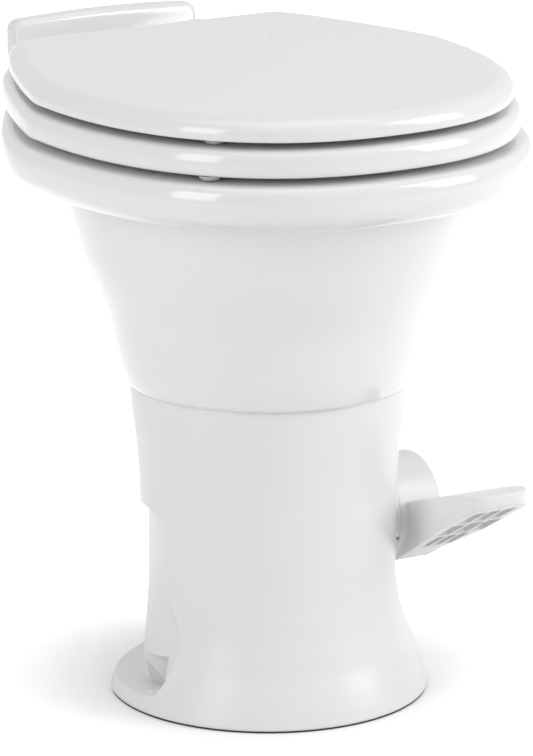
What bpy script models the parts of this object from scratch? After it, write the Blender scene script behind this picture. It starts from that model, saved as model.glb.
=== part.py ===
"""Foot-flushed toilet for a motor home: a ceramic bowl on a moulded pedestal, in metres.

Up is +Z and the front of the bowl faces -Y. The pieces are drawn round the column,
whose axis is x = 0, y = 0. One empty then moves all of them along Y, so that the origin
lies on the floor under the middle of the whole object.
"""

import math

import bmesh
import bpy
from mathutils import Matrix, Vector

# Clearances and mesh fineness
GAP = 0.0003
SLIP = 0.0003
OVERRUN = 0.004
WELD = 0.000005
SPIN_WELD = 0.00001
RING_STEPS = 32
SMALL_STEPS = 14
SCREW_STEPS = 8
SHARP_ANGLE = math.radians(32)

# Lid outline, seen from above
LID_HALF_WIDTH = 0.1789
LID_FRONT = -0.1884
LID_WIDEST = 0.0314
LID_BACK_HALF = 0.1160
LID_BACK = 0.1914
LID_NOSE_POWER = 2.3
LID_SHOULDER = 0.015
LID_FLARE_PULL = 0.0544
LID_FLARE_LEAN = 0.6
LID_CORNER = 0.018

# Levels of the seat stack
RIM_TOP = 0.436
SEAT_BOTTOM = 0.441
SEAT_THICK = 0.020
LID_LIFT = 0.005
LID_THICK = 0.017
LID_CROWN = 0.0012
LID_EDGE_ROUND = 0.008
SEAT_EDGE_ROUND = 0.007
SEAT_OVERHANG = 0.0054
SEAT_OPENING_HALF = 0.108
SEAT_OPENING_FRONT = 0.122
SEAT_OPENING_REAR = 0.108

# Rubber bumpers
BUMPER_RADIUS = 0.0085
BUMPER_STEM_RADIUS = 0.003
BUMPER_STEM = 0.004
BUMPER_FOOT_SHARE = 0.55
BUMPER_BELLY_SHARE = 0.92
LID_BUMPER_X = 0.117
LID_BUMPER_FRONT = -0.126
SEAT_BUMPER_X = 0.124
SEAT_BUMPER_FRONT = -0.131
SEAT_BUMPER_REAR = 0.128

# Bowl casting
RIM_MARGIN = 0.0135
DECK_BACK = 0.271
DECK_BACK_HALF = 0.080
DECK_CORNER = 0.020
DECK_FLARE_PULL = 0.0665
DECK_FLARE_LEAN = 0.43
DECK_SHOULDER = 0.065
RIM_DEPTH = 0.0375
RIM_TUCK = 0.0205
RIM_PROFILE_SHARES = (
    (0.56, 0.12), (0.29, 0.25), (0.13, 0.37), (0.05, 0.50), (0.0, 0.68), (0.05, 0.86), (0.23, 0.97),
    (0.50, 1.0),
)
BODY_TOP_RADIUS = 0.1503
BODY_SIDE_SHARE = 1.034
BODY_FRONT_SHARE = 1.083
BODY_REAR_SHARE = 1.051
SEAM_RADIUS = 0.1088
SEAM_HEIGHT = 0.2445
BODY_SHARES = (
    (0.0, 0.0), (0.09, 0.10), (0.21, 0.20), (0.36, 0.32), (0.50, 0.50), (0.64, 0.69), (0.80, 0.84),
    (1.0, 1.0),
)
OPENING_HALF = 0.134
OPENING_FRONT = 0.146
OPENING_REAR = 0.148
OPENING_ROUND = 0.007
THROAT_RADIUS = 0.027
BOWL_SHARES = (
    (0.94, 0.995), (0.76, 0.96), (0.60, 0.87), (0.47, 0.74), (0.36, 0.57), (0.25, 0.37), (0.155, 0.19),
    (0.085, 0.08),
)
SKIRT_WALL = 0.0096
SKIRT_HOLLOW_RISE = 0.036
SPIGOT_WALL = 0.011
FUNNEL_SHARES = ((0.62, 0.80), (0.42, 0.55), (0.24, 0.28), (0.13, 0.04))
HUMP_HALF = 0.0785
HUMP_FRONT = 0.246
HUMP_TOP = 0.4795
HUMP_CORNER = 0.009
HUMP_EDGE = 0.004
POCKET_FRONT = 0.182
POCKET_BACK = 0.2435
POCKET_FRONT_HALF = 0.098
POCKET_BACK_HALF = 0.066
POCKET_SLACK = 0.0045
DECK_WALL = 0.013

# Pedestal shell
FOOT_RADIUS = 0.1225
FOOT_CHAMFER = 0.002
FOOT_PLATE = 0.008
WAIST_RADIUS = 0.0975
FOOT_FLARE_HEIGHT = 0.094
FOOT_FLARE_SHARES = ((0.12, 0.89), (0.26, 0.69), (0.39, 0.47), (0.53, 0.31), (0.68, 0.15), (0.84, 0.05),
                     (1.0, 0.0))
WAIST_HEIGHT = 0.139
COLUMN_TOP_RADIUS = 0.1056
COLUMN_FLARE_SHARES = ((0.0, 0.0), (0.30, 0.12), (0.55, 0.37), (0.78, 0.72), (1.0, 1.0))
COLUMN_INNER_RADIUS = 0.0875
LIP_HEIGHT = 0.0095
LIP_WALL = 0.004
LIP_SLACK = 0.001
OUTLET_HOLE = 0.0425
SCOOP_RADIUS = 0.0914
SCOOP_BASE_RADIUS = 0.0962
SCOOP_FLOOR = 0.0135
SCOOP_TOP = 0.1465
SCOOP_TOP_SLOPE = 0.006
SCOOP_REAR_ANGLE = math.radians(62)
SCOOP_LOW_LEAN = math.radians(15)
SCOOP_MID_LEAN = math.radians(21)
SCOOP_TOP_LEAN = math.radians(12)
SCOOP_SECTORS = 8
POCKET_TOP_FRONT = 0.0125
POCKET_TOP_REAR = 0.034
POCKET_WALL = 0.003
POCKET_INNER = 0.064
POCKET_TOP = 0.0345
POCKET_FLOOR = 0.0105
POCKET_SILL = 0.0012
POCKET_FOOT_FRONT = 0.0066
POCKET_FOOT_REAR = 0.0115
BOLT_X = 0.0762

# Floor bolts
BOLT_RADIUS = 0.0031
BOLT_HOLE_RADIUS = 0.0036
BOLT_TOP = 0.031
NUT_RADIUS = 0.0060
NUT_HEIGHT = 0.0055

# Flush axis, ball and chamber
AXIS_Z = 0.125
BALL_RADIUS = 0.066
BALL_WALL = 0.004
BALL_CAP_ANGLE = math.radians(31.5)
ARM_INNER_X = 0.029
ARM_OUTER_X = 0.033
ARM_HALF_WIDTH = 0.012
BALL_BOSS_RADIUS = 0.011
BALL_BOSS_OUTER_X = 0.042
ARM_ROOT_SHARE = 0.8
SHAFT_RADIUS = 0.006
SHAFT_SOCKET = 0.035
CHAMBER_RADIUS = 0.0685
CHAMBER_WALL = 0.003
CHAMBER_HALF = 0.043
SIDE_WALL = 0.003
NECK_RADIUS = 0.0313
NECK_WALL = 0.0042
NECK_DROP = 0.0605
NECK_LEDGE_HEIGHT = 0.0693
NECK_LEDGE_RADIUS = 0.028
FLANGE_RADIUS = 0.046
NECK_RISE = 0.0118
FLANGE_THICK = 0.005
BOWL_FLANGE_THICK = 0.006
BOWL_SEAL_THICK = 0.0024
OUTLET_RADIUS = 0.038
OUTLET_WALL = 0.0035
OUTLET_END = 0.001
CHAMBER_FOOT_RADIUS = 0.058
CHAMBER_FOOT_THICK = 0.005
BEARING_BOSS_RADIUS = 0.014
BEARING_BOSS_X = 0.058
BUSH_RADIUS = 0.009
BUSH_LENGTH = 0.0075
SEAL_LENGTH = 0.003
BALL_SEAL_INNER = 0.026
SEAL_GROOVE_INNER = 0.046
SEAL_GROOVE_OUTER = 0.056
SEAL_GROOVE_DEPTH = 0.0045

# Clamp round the neck
CLAMP_LIP_RADIUS = 0.0405
CLAMP_LIP = 0.003
CLAMP_OUTER_RADIUS = 0.051
CLAMP_SPLIT = 0.001
CLAMP_EAR_REACH = 0.066
CLAMP_EAR_THICK = 0.005
CLAMP_SCREW_X = 0.0585
M4_RADIUS = 0.002
M4_HEAD_RADIUS = 0.0038
M4_HEAD_HEIGHT = 0.0025
HEAD_SIDE_SHARE = 0.6
HEAD_TOP_SHARE = 0.75
PEDAL_SCREW_HEAD_SHARE = 1.4
M4_NUT_RADIUS = 0.0040
M4_NUT_HEIGHT = 0.0032

# Cartridge and pedal
HOUSING_BOSS_RADIUS = 0.0405
HOUSING_FACE_X = 0.0965
HOUSING_INNER_X = 0.074
HOUSING_RADIUS = 0.030
HOUSING_CAVITY_RADIUS = 0.026
HOUSING_END_WALL = 0.004
HOUSING_FLANGE_RADIUS = 0.0385
HOUSING_FLANGE_THICK = 0.005
HOUSING_SCREW_CIRCLE = 0.0342
SPRING_RADIUS = 0.019
SPRING_WIRE = 0.0014
SPRING_TURNS = 3
SPRING_PITCH = 0.0052
HUB_RADIUS = 0.041
HUB_GAP = 0.0008
HUB_FACE_X = 0.1325
HUB_WALL = 0.004
HUB_EDGE = 0.005
SLEEVE_RADIUS = 0.0115
SHAFT_END_INSET = 0.006
CAM_X = 0.064
CAM_HALF = 0.004
CAM_RADIUS = 0.0155
CAM_LIFT_PER_RADIAN = 0.0072
CAM_LIFT_ANGLE = math.radians(64)
CAM_LEAD_ANGLE = math.radians(10)
PEDAL_RISE_BOTTOM = math.radians(30)
PEDAL_RISE_TOP = math.radians(19)
PEDAL_BOTTOM_DROP = 0.050
PEDAL_TOP_LIFT = 0.0005
PEDAL_INNER_X = 0.1025
PEDAL_TOE_INNER_X = 0.0865
PEDAL_TOE_OUTER_X = 0.1455
PEDAL_TOE_INNER = -0.136
PEDAL_TOE_MIDDLE = -0.1525
PEDAL_TOE_OUTER = -0.140
PEDAL_SKIN = 0.003
PEDAL_RIB = 0.0026
PEDAL_CELL_ROWS = 3
PEDAL_CELL_COLUMNS = 3
PEDAL_CELLS_START = -0.050
PEDAL_CELLS_END_SHARE = 0.93
PEDAL_FLARE_SHARE = 0.86
PEDAL_BULGE_SHARE = 0.55

# Water valve and plumbing
VALVE_HALF_WIDTH = 0.0138
VALVE_FRONT = 0.044
VALVE_BACK = 0.104
VALVE_HALF_HEIGHT = 0.017
VALVE_EDGE = 0.0015
LUG_THICK = 0.005
LUG_FRONT = 0.050
LUG_BACK = 0.100
VALVE_SCREW_Y = 0.090
VALVE_SCREW_RISE = 0.011
PLUNGER_RADIUS = 0.004
PLUNGER_HEAD_RADIUS = 0.006
PLUNGER_HEAD = 0.006
PLUNGER_TIP = 0.0046
PLUNGER_INSERT = 0.012
VALVE_BORE_DEPTH = 0.024
WINDOW_INNER_X = 0.040
WINDOW_OUTER_X = 0.086
WINDOW_HALF_HEIGHT = 0.024
BARB_RADIUS = 0.006
BARB_LENGTH = 0.020
BARB_Y = 0.092
FITTING_HEX = 0.013
FITTING_HEX_LENGTH = 0.009
FITTING_RADIUS = 0.0105
FITTING_BORE = 0.006
FITTING_LENGTH = 0.026
BREAKER_RADIUS = 0.015
BREAKER_BOTTOM = 0.325
BREAKER_TOP = 0.364
BREAKER_CAP_RADIUS = 0.019
BREAKER_CAP = 0.009
CAP_SIDE_SHARE = 0.7
CAP_TOP_SHARE = 0.85
BREAKER_BARB = 0.018
NOZZLE_Z = 0.347
NOZZLE_RADIUS = 0.009
NOZZLE_BORE = 0.0055
NOZZLE_INNER = 0.128
NOZZLE_FLANGE = 0.014
NOZZLE_FLANGE_THICK = 0.003
NOZZLE_FLANGE_SEAT = 0.0012
NOZZLE_REACH = 0.0482
HOSE_RADIUS = 0.0085
HOSE_SAMPLES = 14
HOSE_LEAD = 0.015
HOSE_CLAMP_WIDTH = 0.008
HOSE_CLAMP_WALL = 0.0012

# Hinges
HINGE_Y = 0.2120
HINGE_Z = 0.4620
HINGE_X = 0.070
POST_HALF_WIDTH = 0.008
BARREL_RADIUS = 0.010
BASE_FRONT = 0.1995
BASE_BACK = 0.2325
BASE_HALF_WIDTH = 0.016
BASE_THICK = 0.005
PILLAR_HALF_DEPTH = 0.0085
KNUCKLE_WIDTH = 0.010
KNUCKLE_THICK = 0.010
KNUCKLE_ROOT = 0.180
PIN_RADIUS = 0.0035
PIN_HEAD_RADIUS = 0.0055
PIN_HEAD = 0.002
HINGE_BOLT_Y = 0.2265
HINGE_BOLT_RADIUS = 0.0030
HINGE_BOLT_HEAD_RADIUS = 0.0052
HINGE_BOLT_HEAD = 0.0025
HINGE_BOLT_HOLE = 0.0038
HINGE_BOLT_REACH = 0.014
HINGE_WASHER_RADIUS = 0.0085
HINGE_WASHER_THICK = 0.0016
WING_RADIUS = 0.007
WING_HEIGHT = 0.008
WING_SPAN = 0.0095
WING_THICK = 0.003
WING_LOW_SHARE = 0.8
WING_HIGH_SHARE = 0.1

# Worked-out places that several pieces share
LID_BOTTOM = SEAT_BOTTOM + SEAT_THICK + LID_LIFT
LID_TOP = LID_BOTTOM + LID_THICK
RIM_FRONT = LID_FRONT - RIM_MARGIN
FRAME_SHIFT = -(DECK_BACK + RIM_FRONT) / 2
FLANGE_TOP = AXIS_Z + BALL_RADIUS + NECK_RISE + FLANGE_THICK
SEAL_BOTTOM = FLANGE_TOP + GAP
SPIGOT_BOTTOM = SEAL_BOTTOM + BOWL_SEAL_THICK + GAP
HOLLOW_RADIUS = SEAM_RADIUS - SKIRT_WALL
FULL_TURN = 2 * math.pi
X_AXIS = Vector((1, 0, 0))
Y_AXIS = Vector((0, 1, 0))
Z_AXIS = Vector((0, 0, 1))


def clear_scene():
    for item in list(bpy.data.objects):
        bpy.data.objects.remove(item, do_unlink=True)


def finish_material(name, colour, roughness, metallic=0.0):
    made = bpy.data.materials.new(name)
    made.use_nodes = True
    shader = made.node_tree.nodes["Principled BSDF"]
    shader.inputs["Base Color"].default_value = (*colour, 1.0)
    shader.inputs["Roughness"].default_value = roughness
    shader.inputs["Metallic"].default_value = metallic
    return made


def add_object(name, shape):
    """Turn a finished bmesh into a named object, with its faces turned outwards."""
    bmesh.ops.recalc_face_normals(shape, faces=shape.faces)
    mesh = bpy.data.meshes.new(name)
    shape.to_mesh(mesh)
    shape.free()
    made = bpy.data.objects.new(name, mesh)
    bpy.context.scene.collection.objects.link(made)
    return made


def combine(target, tool, operation):
    """Join, cut or intersect two objects, keep the result on the first and drop the second."""
    modifier = target.modifiers.new(operation.lower(), "BOOLEAN")
    modifier.operation = operation
    modifier.solver = "EXACT"
    modifier.object = tool
    graph = bpy.context.evaluated_depsgraph_get()
    result = bpy.data.meshes.new_from_object(target.evaluated_get(graph))
    target.modifiers.clear()
    shape = bmesh.new()
    shape.from_mesh(result)
    bmesh.ops.remove_doubles(shape, verts=shape.verts, dist=WELD)
    bmesh.ops.dissolve_degenerate(shape, edges=shape.edges, dist=WELD)
    shape.to_mesh(result)
    shape.free()
    target.data = result
    bpy.data.objects.remove(tool, do_unlink=True)
    return target


def join_all(target, tools):
    for tool in tools:
        combine(target, tool, "UNION")
    return target


def cut_all(target, tools):
    for tool in tools:
        combine(target, tool, "DIFFERENCE")
    return target


def name_set(name, solids, ends=("left", "right")):
    """Name like pieces by their ends, as seen from the front of the object."""
    for solid, end in zip(solids, ends):
        solid.name = f"{name}_{end}"
    return solids


def turned(name, profile, steps=RING_STEPS, axis=Z_AXIS, centre=(0, 0, 0)):
    """Spin a profile of (radius, height) points round an axis; off the axis, its ends are joined."""
    shape = bmesh.new()
    spots = [shape.verts.new((radius, 0, height)) for radius, height in profile]
    edges = [shape.edges.new(pair) for pair in zip(spots, spots[1:])]
    if profile[0][0] > 0 or profile[-1][0] > 0:
        edges.append(shape.edges.new((spots[-1], spots[0])))
    bmesh.ops.spin(
        shape, geom=spots + edges, cent=(0, 0, 0), axis=Z_AXIS, angle=FULL_TURN, steps=steps,
        use_merge=True,
    )
    bmesh.ops.remove_doubles(shape, verts=shape.verts, dist=SPIN_WELD)
    bmesh.ops.dissolve_degenerate(shape, edges=shape.edges, dist=SPIN_WELD)
    turn = Z_AXIS.rotation_difference(axis).to_matrix().to_4x4()
    bmesh.ops.transform(shape, matrix=Matrix.Translation(centre) @ turn, verts=shape.verts)
    return add_object(name, shape)


def rod(name, radius, low, high, axis=Z_AXIS, centre=(0, 0, 0), steps=SMALL_STEPS):
    """A plain round rod between two places along an axis."""
    shape = bmesh.new()
    bmesh.ops.create_cone(
        shape, cap_ends=True, segments=steps, radius1=radius, radius2=radius, depth=high - low,
    )
    turn = Z_AXIS.rotation_difference(axis).to_matrix().to_4x4()
    middle = Matrix.Translation(Vector(centre) + axis * (low + high) / 2)
    bmesh.ops.transform(shape, matrix=middle @ turn, verts=shape.verts)
    return add_object(name, shape)


def tube(name, outer, inner, low, high, axis=Z_AXIS, centre=(0, 0, 0), steps=SMALL_STEPS):
    profile = [(inner, low), (outer, low), (outer, high), (inner, high)]
    return turned(name, profile, steps, axis, centre)


def block(name, low, high):
    shape = bmesh.new()
    bmesh.ops.create_cube(shape, size=1)
    size = [top - bottom for bottom, top in zip(low, high)]
    middle = [(top + bottom) / 2 for bottom, top in zip(low, high)]
    bmesh.ops.scale(shape, vec=size, verts=shape.verts)
    bmesh.ops.translate(shape, vec=middle, verts=shape.verts)
    return add_object(name, shape)


def prism(name, outline, low, high, place):
    """Extrude a flat outline between two levels; place turns (u, v, level) into a point."""
    shape = bmesh.new()
    base = shape.faces.new([shape.verts.new(place(u, v, low)) for u, v in outline])
    grown = bmesh.ops.extrude_face_region(shape, geom=[base])
    top = [item for item in grown["geom"] if isinstance(item, bmesh.types.BMVert)]
    lift = Vector(place(0, 0, high)) - Vector(place(0, 0, low))
    bmesh.ops.translate(shape, vec=lift, verts=top)
    return add_object(name, shape)


def upright(u, v, level):
    return (u, v, level)


def sideways(u, v, level):
    return (level, u, v)


def lengthways(u, v, level):
    return (u, level, v)


def loft(name, rings, closed=False):
    """Join rings of equal point counts; a closed loft meets its first ring again."""
    shape = bmesh.new()
    rows = [[shape.verts.new(point) for point in ring] for ring in rings]
    count = len(rows[0])
    last = len(rows) if closed else len(rows) - 1
    for i in range(last):
        lower, upper = rows[i], rows[(i + 1) % len(rows)]
        for j in range(count):
            k = (j + 1) % count
            shape.faces.new((lower[j], lower[k], upper[k], upper[j]))
    if not closed:
        shape.faces.new(rows[0])
        shape.faces.new(rows[-1])
    return add_object(name, shape)


def bezier(first, second, third, fourth, share):
    rest = 1 - share
    weights = (rest ** 3, 3 * share * rest ** 2, 3 * share ** 2 * rest, share ** 3)
    corners = (first, second, third, fourth)
    return tuple(sum(w * c[i] for w, c in zip(weights, corners)) for i in (0, 1))


def plan_outline(half, front, widest, back_half, back, power, shoulder, pull, lean, corner):
    """Outline of the lid or deck from above: an egg-shaped nose, flared sides, a straight back."""
    nose_steps, flare_steps, corner_steps, back_steps = 9, 5, 3, 2
    right = []
    for i in range(nose_steps):
        angle = math.pi / 2 * (1 - i / nose_steps)
        across = half * max(math.cos(angle), 0) ** (2 / power)
        right.append((across, widest - (widest - front) * math.sin(angle) ** (2 / power)))
    outward = (math.sin(lean), -math.cos(lean))
    knee = (back_half + corner * outward[0], back + corner * outward[1])
    hip = (knee[0] + pull * outward[0], knee[1] + pull * outward[1])
    for i in range(flare_steps):
        right.append(bezier((half, widest), (half, widest + shoulder), hip, knee, i / flare_steps))
    tail = (back_half - corner, back)
    for i in range(corner_steps):
        right.append(bezier(knee, (back_half, back), (back_half, back), tail, i / corner_steps))
    for i in range(back_steps):
        right.append((tail[0] * (1 - i / back_steps), back))
    left = [(-x, y) for x, y in reversed(right[1:])]
    return right + [(0.0, back)] + left


def grow_outline(points, margin):
    """Move each point of a closed outline outwards along its normal; a minus margin shrinks it."""
    count = len(points)
    grown = []
    for i, (x, y) in enumerate(points):
        before, after = points[i - 1], points[(i + 1) % count]
        along = Vector((after[0] - before[0], after[1] - before[1])).normalized()
        grown.append((x + along.y * margin, y - along.x * margin))
    return grown


def draw_in(points, margin):
    """Move each point of a closed outline straight towards the column's axis."""
    return [(x * (1 - margin / math.hypot(x, y)), y * (1 - margin / math.hypot(x, y))) for x, y in points]


def egg_ring(guide, half, front, rear):
    """Ring of an egg with three reaches, whose points lie at the guide outline's angles."""
    ring = []
    for x, y in guide:
        length = math.hypot(x, y)
        across, along = x / length, y / length
        reach = rear if along > 0 else front
        radius = 1 / math.hypot(across / half, along / reach)
        ring.append((across * radius, along * radius))
    return ring


def at_level(ring, height):
    return [(x, y, height) for x, y in ring]


def lid_outline():
    return plan_outline(
        LID_HALF_WIDTH, LID_FRONT, LID_WIDEST, LID_BACK_HALF, LID_BACK, LID_NOSE_POWER,
        LID_SHOULDER, LID_FLARE_PULL - LID_CORNER, LID_FLARE_LEAN, LID_CORNER,
    )


def deck_outline():
    return plan_outline(
        LID_HALF_WIDTH + RIM_MARGIN, RIM_FRONT, LID_WIDEST, DECK_BACK_HALF, DECK_BACK, LID_NOSE_POWER,
        DECK_SHOULDER, DECK_FLARE_PULL, DECK_FLARE_LEAN, DECK_CORNER,
    )


def body_ring(guide, radius, height_share):
    """Ring of the casting's outer wall: round at the seam, and more of an egg towards the rim."""
    reaches = [radius * (1 + (share - 1) * height_share)
               for share in (BODY_SIDE_SHARE, BODY_FRONT_SHARE, BODY_REAR_SHARE)]
    return egg_ring(guide, *reaches)


def wall_behind(height):
    """How far behind the axis the casting's outer wall stands at a height."""
    height_share = (height - SEAM_HEIGHT) / (RIM_TOP - RIM_DEPTH - GAP - SEAM_HEIGHT)
    spread_share = 1.0
    for (low, first), (high, second) in zip(BODY_SHARES, BODY_SHARES[1:]):
        if low <= height_share <= high:
            spread_share = first + (second - first) * (height_share - low) / (high - low)
    radius = SEAM_RADIUS + spread_share * (BODY_TOP_RADIUS - SEAM_RADIUS)
    return radius * (1 + (BODY_REAR_SHARE - 1) * height_share)


def nozzle_flange_y():
    return wall_behind(NOZZLE_Z + NOZZLE_FLANGE) + NOZZLE_FLANGE_SEAT


def breaker_y():
    return nozzle_flange_y() + NOZZLE_REACH


def bowl_rings():
    """Rings of the casting, up the outer wall, over the rim, down the inside and round the spigot."""
    deck = deck_outline()
    rise = RIM_TOP - RIM_DEPTH - GAP - SEAM_HEIGHT
    rings = []
    for height_share, spread_share in BODY_SHARES:
        radius = SEAM_RADIUS + spread_share * (BODY_TOP_RADIUS - SEAM_RADIUS)
        rings.append(at_level(body_ring(deck, radius, height_share), SEAM_HEIGHT + rise * height_share))
    for tuck_share, height_share in ((1.0, 0.02),) + RIM_PROFILE_SHARES:
        height = RIM_TOP - RIM_DEPTH + RIM_DEPTH * height_share
        rings.append(at_level(draw_in(deck, RIM_TUCK * tuck_share), height))
    mouth = (OPENING_HALF, OPENING_FRONT, OPENING_REAR)
    rings.append(at_level(egg_ring(deck, *[reach + OPENING_ROUND for reach in mouth]), RIM_TOP))
    rings.append(at_level(egg_ring(deck, *[reach + OPENING_ROUND / 4 for reach in mouth]),
                          RIM_TOP - OPENING_ROUND / 3))
    depth = RIM_TOP - OPENING_ROUND - SPIGOT_BOTTOM
    for height_share, spread_share in ((1.0, 1.0),) + BOWL_SHARES + ((0.0, 0.0),):
        reaches = [THROAT_RADIUS + spread_share * (reach - THROAT_RADIUS) for reach in mouth]
        rings.append(at_level(egg_ring(deck, *reaches), SPIGOT_BOTTOM + depth * height_share))
    flange_top = SPIGOT_BOTTOM + BOWL_FLANGE_THICK
    neck = THROAT_RADIUS + SPIGOT_WALL
    hollow_top = SEAM_HEIGHT + SKIRT_HOLLOW_RISE
    rings.append(at_level(egg_ring(deck, FLANGE_RADIUS, FLANGE_RADIUS, FLANGE_RADIUS), SPIGOT_BOTTOM))
    rings.append(at_level(egg_ring(deck, FLANGE_RADIUS, FLANGE_RADIUS, FLANGE_RADIUS), flange_top))
    rings.append(at_level(egg_ring(deck, neck, neck, neck), flange_top))
    crest = HOLLOW_RADIUS - SKIRT_WALL / 2
    for height_share, spread_share in reversed(FUNNEL_SHARES):
        radius = neck + spread_share * (crest - neck)
        rings.append(at_level(egg_ring(deck, radius, radius, radius),
                              flange_top + height_share * (hollow_top - flange_top)))
    rings.append(at_level(egg_ring(deck, crest, crest, crest), hollow_top))
    knee = HOLLOW_RADIUS + SKIRT_WALL / 2
    rings.append(at_level(egg_ring(deck, knee, knee, knee), hollow_top - SKIRT_WALL))
    rings.append(at_level(egg_ring(deck, HOLLOW_RADIUS, HOLLOW_RADIUS, HOLLOW_RADIUS), SEAM_HEIGHT))
    return rings


def hump_outline():
    """Raised back wall seen from the front, with rounded top corners."""
    sunk = RIM_TOP - DECK_WALL / 2
    points = [(HUMP_HALF, sunk)]
    for i in range(5):
        angle = math.pi / 2 * i / 4
        points.append((
            HUMP_HALF - HUMP_CORNER + HUMP_CORNER * math.cos(angle),
            HUMP_TOP - HUMP_CORNER + HUMP_CORNER * math.sin(angle),
        ))
    return points + [(-x, z) for x, z in reversed(points)]


def soften(item, width, angle=math.radians(50)):
    """Round the sharp edges of a piece with a small two-step bevel."""
    bevel = item.modifiers.new("rounded edges", "BEVEL")
    bevel.width = width
    bevel.segments = 2
    bevel.limit_method = "ANGLE"
    bevel.angle_limit = angle
    graph = bpy.context.evaluated_depsgraph_get()
    result = bpy.data.meshes.new_from_object(item.evaluated_get(graph))
    item.modifiers.clear()
    item.data = result
    return item


def build_bowl():
    bowl = loft("bowl", bowl_rings(), closed=True)
    hump = soften(prism("hump", hump_outline(), HUMP_FRONT, DECK_BACK - GAP, lengthways), HUMP_EDGE)
    combine(bowl, hump, "UNION")
    beside_bolt = HINGE_X + HINGE_WASHER_RADIUS + POCKET_SLACK
    corners = [
        (POCKET_FRONT_HALF, POCKET_FRONT), (beside_bolt, HINGE_BOLT_Y), (POCKET_BACK_HALF, POCKET_BACK),
    ]
    corners += [(-x, y) for x, y in reversed(corners)]
    tools = [prism("pocket", corners, RIM_TOP - RIM_DEPTH - OVERRUN, RIM_TOP - DECK_WALL, upright)]
    for side in (-1, 1):
        spot = (side * HINGE_X, HINGE_BOLT_Y, 0)
        tools.append(rod("bolt_hole", HINGE_BOLT_HOLE, RIM_TOP - DECK_WALL - OVERRUN, RIM_TOP + OVERRUN,
                         centre=spot,
                         steps=SCREW_STEPS))
    tools.append(rod("inlet_hole", NOZZLE_RADIUS + GAP, NOZZLE_INNER - 4 * OVERRUN, breaker_y(), Y_AXIS,
                     (0, 0, NOZZLE_Z)))
    return cut_all(bowl, tools)


def column_profile():
    """Outer profile of the pedestal from the floor to the seam, as (radius, height)."""
    points = [(FOOT_RADIUS - FOOT_CHAMFER, 0.0), (FOOT_RADIUS, FOOT_CHAMFER)]
    for height_share, spread_share in FOOT_FLARE_SHARES:
        radius = WAIST_RADIUS + spread_share * (FOOT_RADIUS - WAIST_RADIUS)
        points.append((radius, FOOT_FLARE_HEIGHT * height_share))
    top = SEAM_HEIGHT - GAP
    for height_share, spread_share in COLUMN_FLARE_SHARES:
        radius = WAIST_RADIUS + spread_share * (COLUMN_TOP_RADIUS - WAIST_RADIUS)
        points.append((radius, WAIST_HEIGHT + height_share * (top - WAIST_HEIGHT)))
    return points


def scoop_cutter(side):
    """Side scoop: what lies outside the scooped wall, from the foot ledge to the step."""
    far = FOOT_RADIUS + OVERRUN
    levels = (
        (SCOOP_BASE_RADIUS, SCOOP_FLOOR, SCOOP_LOW_LEAN),
        (SCOOP_RADIUS + (SCOOP_BASE_RADIUS - SCOOP_RADIUS) / 2, SCOOP_FLOOR + POCKET_TOP, SCOOP_MID_LEAN),
        (SCOOP_RADIUS, FOOT_FLARE_HEIGHT, (SCOOP_MID_LEAN + SCOOP_TOP_LEAN) / 2),
        (SCOOP_RADIUS, SCOOP_TOP - SCOOP_TOP_SLOPE, SCOOP_TOP_LEAN),
        (WAIST_RADIUS + OVERRUN, SCOOP_TOP, SCOOP_TOP_LEAN),
    )
    shape = bmesh.new()
    inner, outer = [], []
    for radius, height, lean in levels:
        inner_row, outer_row = [], []
        for i in range(SCOOP_SECTORS + 1):
            angle = -lean + (SCOOP_REAR_ANGLE + lean) * i / SCOOP_SECTORS
            x, y = math.cos(angle), math.sin(angle)
            inner_row.append(shape.verts.new((side * radius * x, radius * y, height)))
            outer_row.append(shape.verts.new((side * far * x, far * y, height)))
        inner.append(inner_row)
        outer.append(outer_row)
    for rows in (inner, outer):
        for i in range(len(levels) - 1):
            for j in range(SCOOP_SECTORS):
                shape.faces.new((rows[i][j], rows[i][j + 1], rows[i + 1][j + 1], rows[i + 1][j]))
    for i in (0, len(levels) - 1):
        for j in range(SCOOP_SECTORS):
            shape.faces.new((inner[i][j], inner[i][j + 1], outer[i][j + 1], outer[i][j]))
    for j in (0, SCOOP_SECTORS):
        for i in range(len(levels) - 1):
            shape.faces.new((inner[i][j], inner[i + 1][j], outer[i + 1][j], outer[i][j]))
    bmesh.ops.triangulate(shape, faces=shape.faces)
    return add_object("scoop", shape)


def pocket_prism(name, side, margin, inner, outer, bottom, top):
    """Bolt pocket in the column wall; it narrows towards its floor."""
    outline = [
        (-POCKET_FOOT_FRONT - margin, bottom), (POCKET_FOOT_REAR + margin, bottom),
        (POCKET_TOP_REAR + margin, top), (-POCKET_TOP_FRONT - margin, top),
    ]
    low, high = sorted((side * inner, side * outer))
    return prism(name, outline, low, high, sideways)


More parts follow.
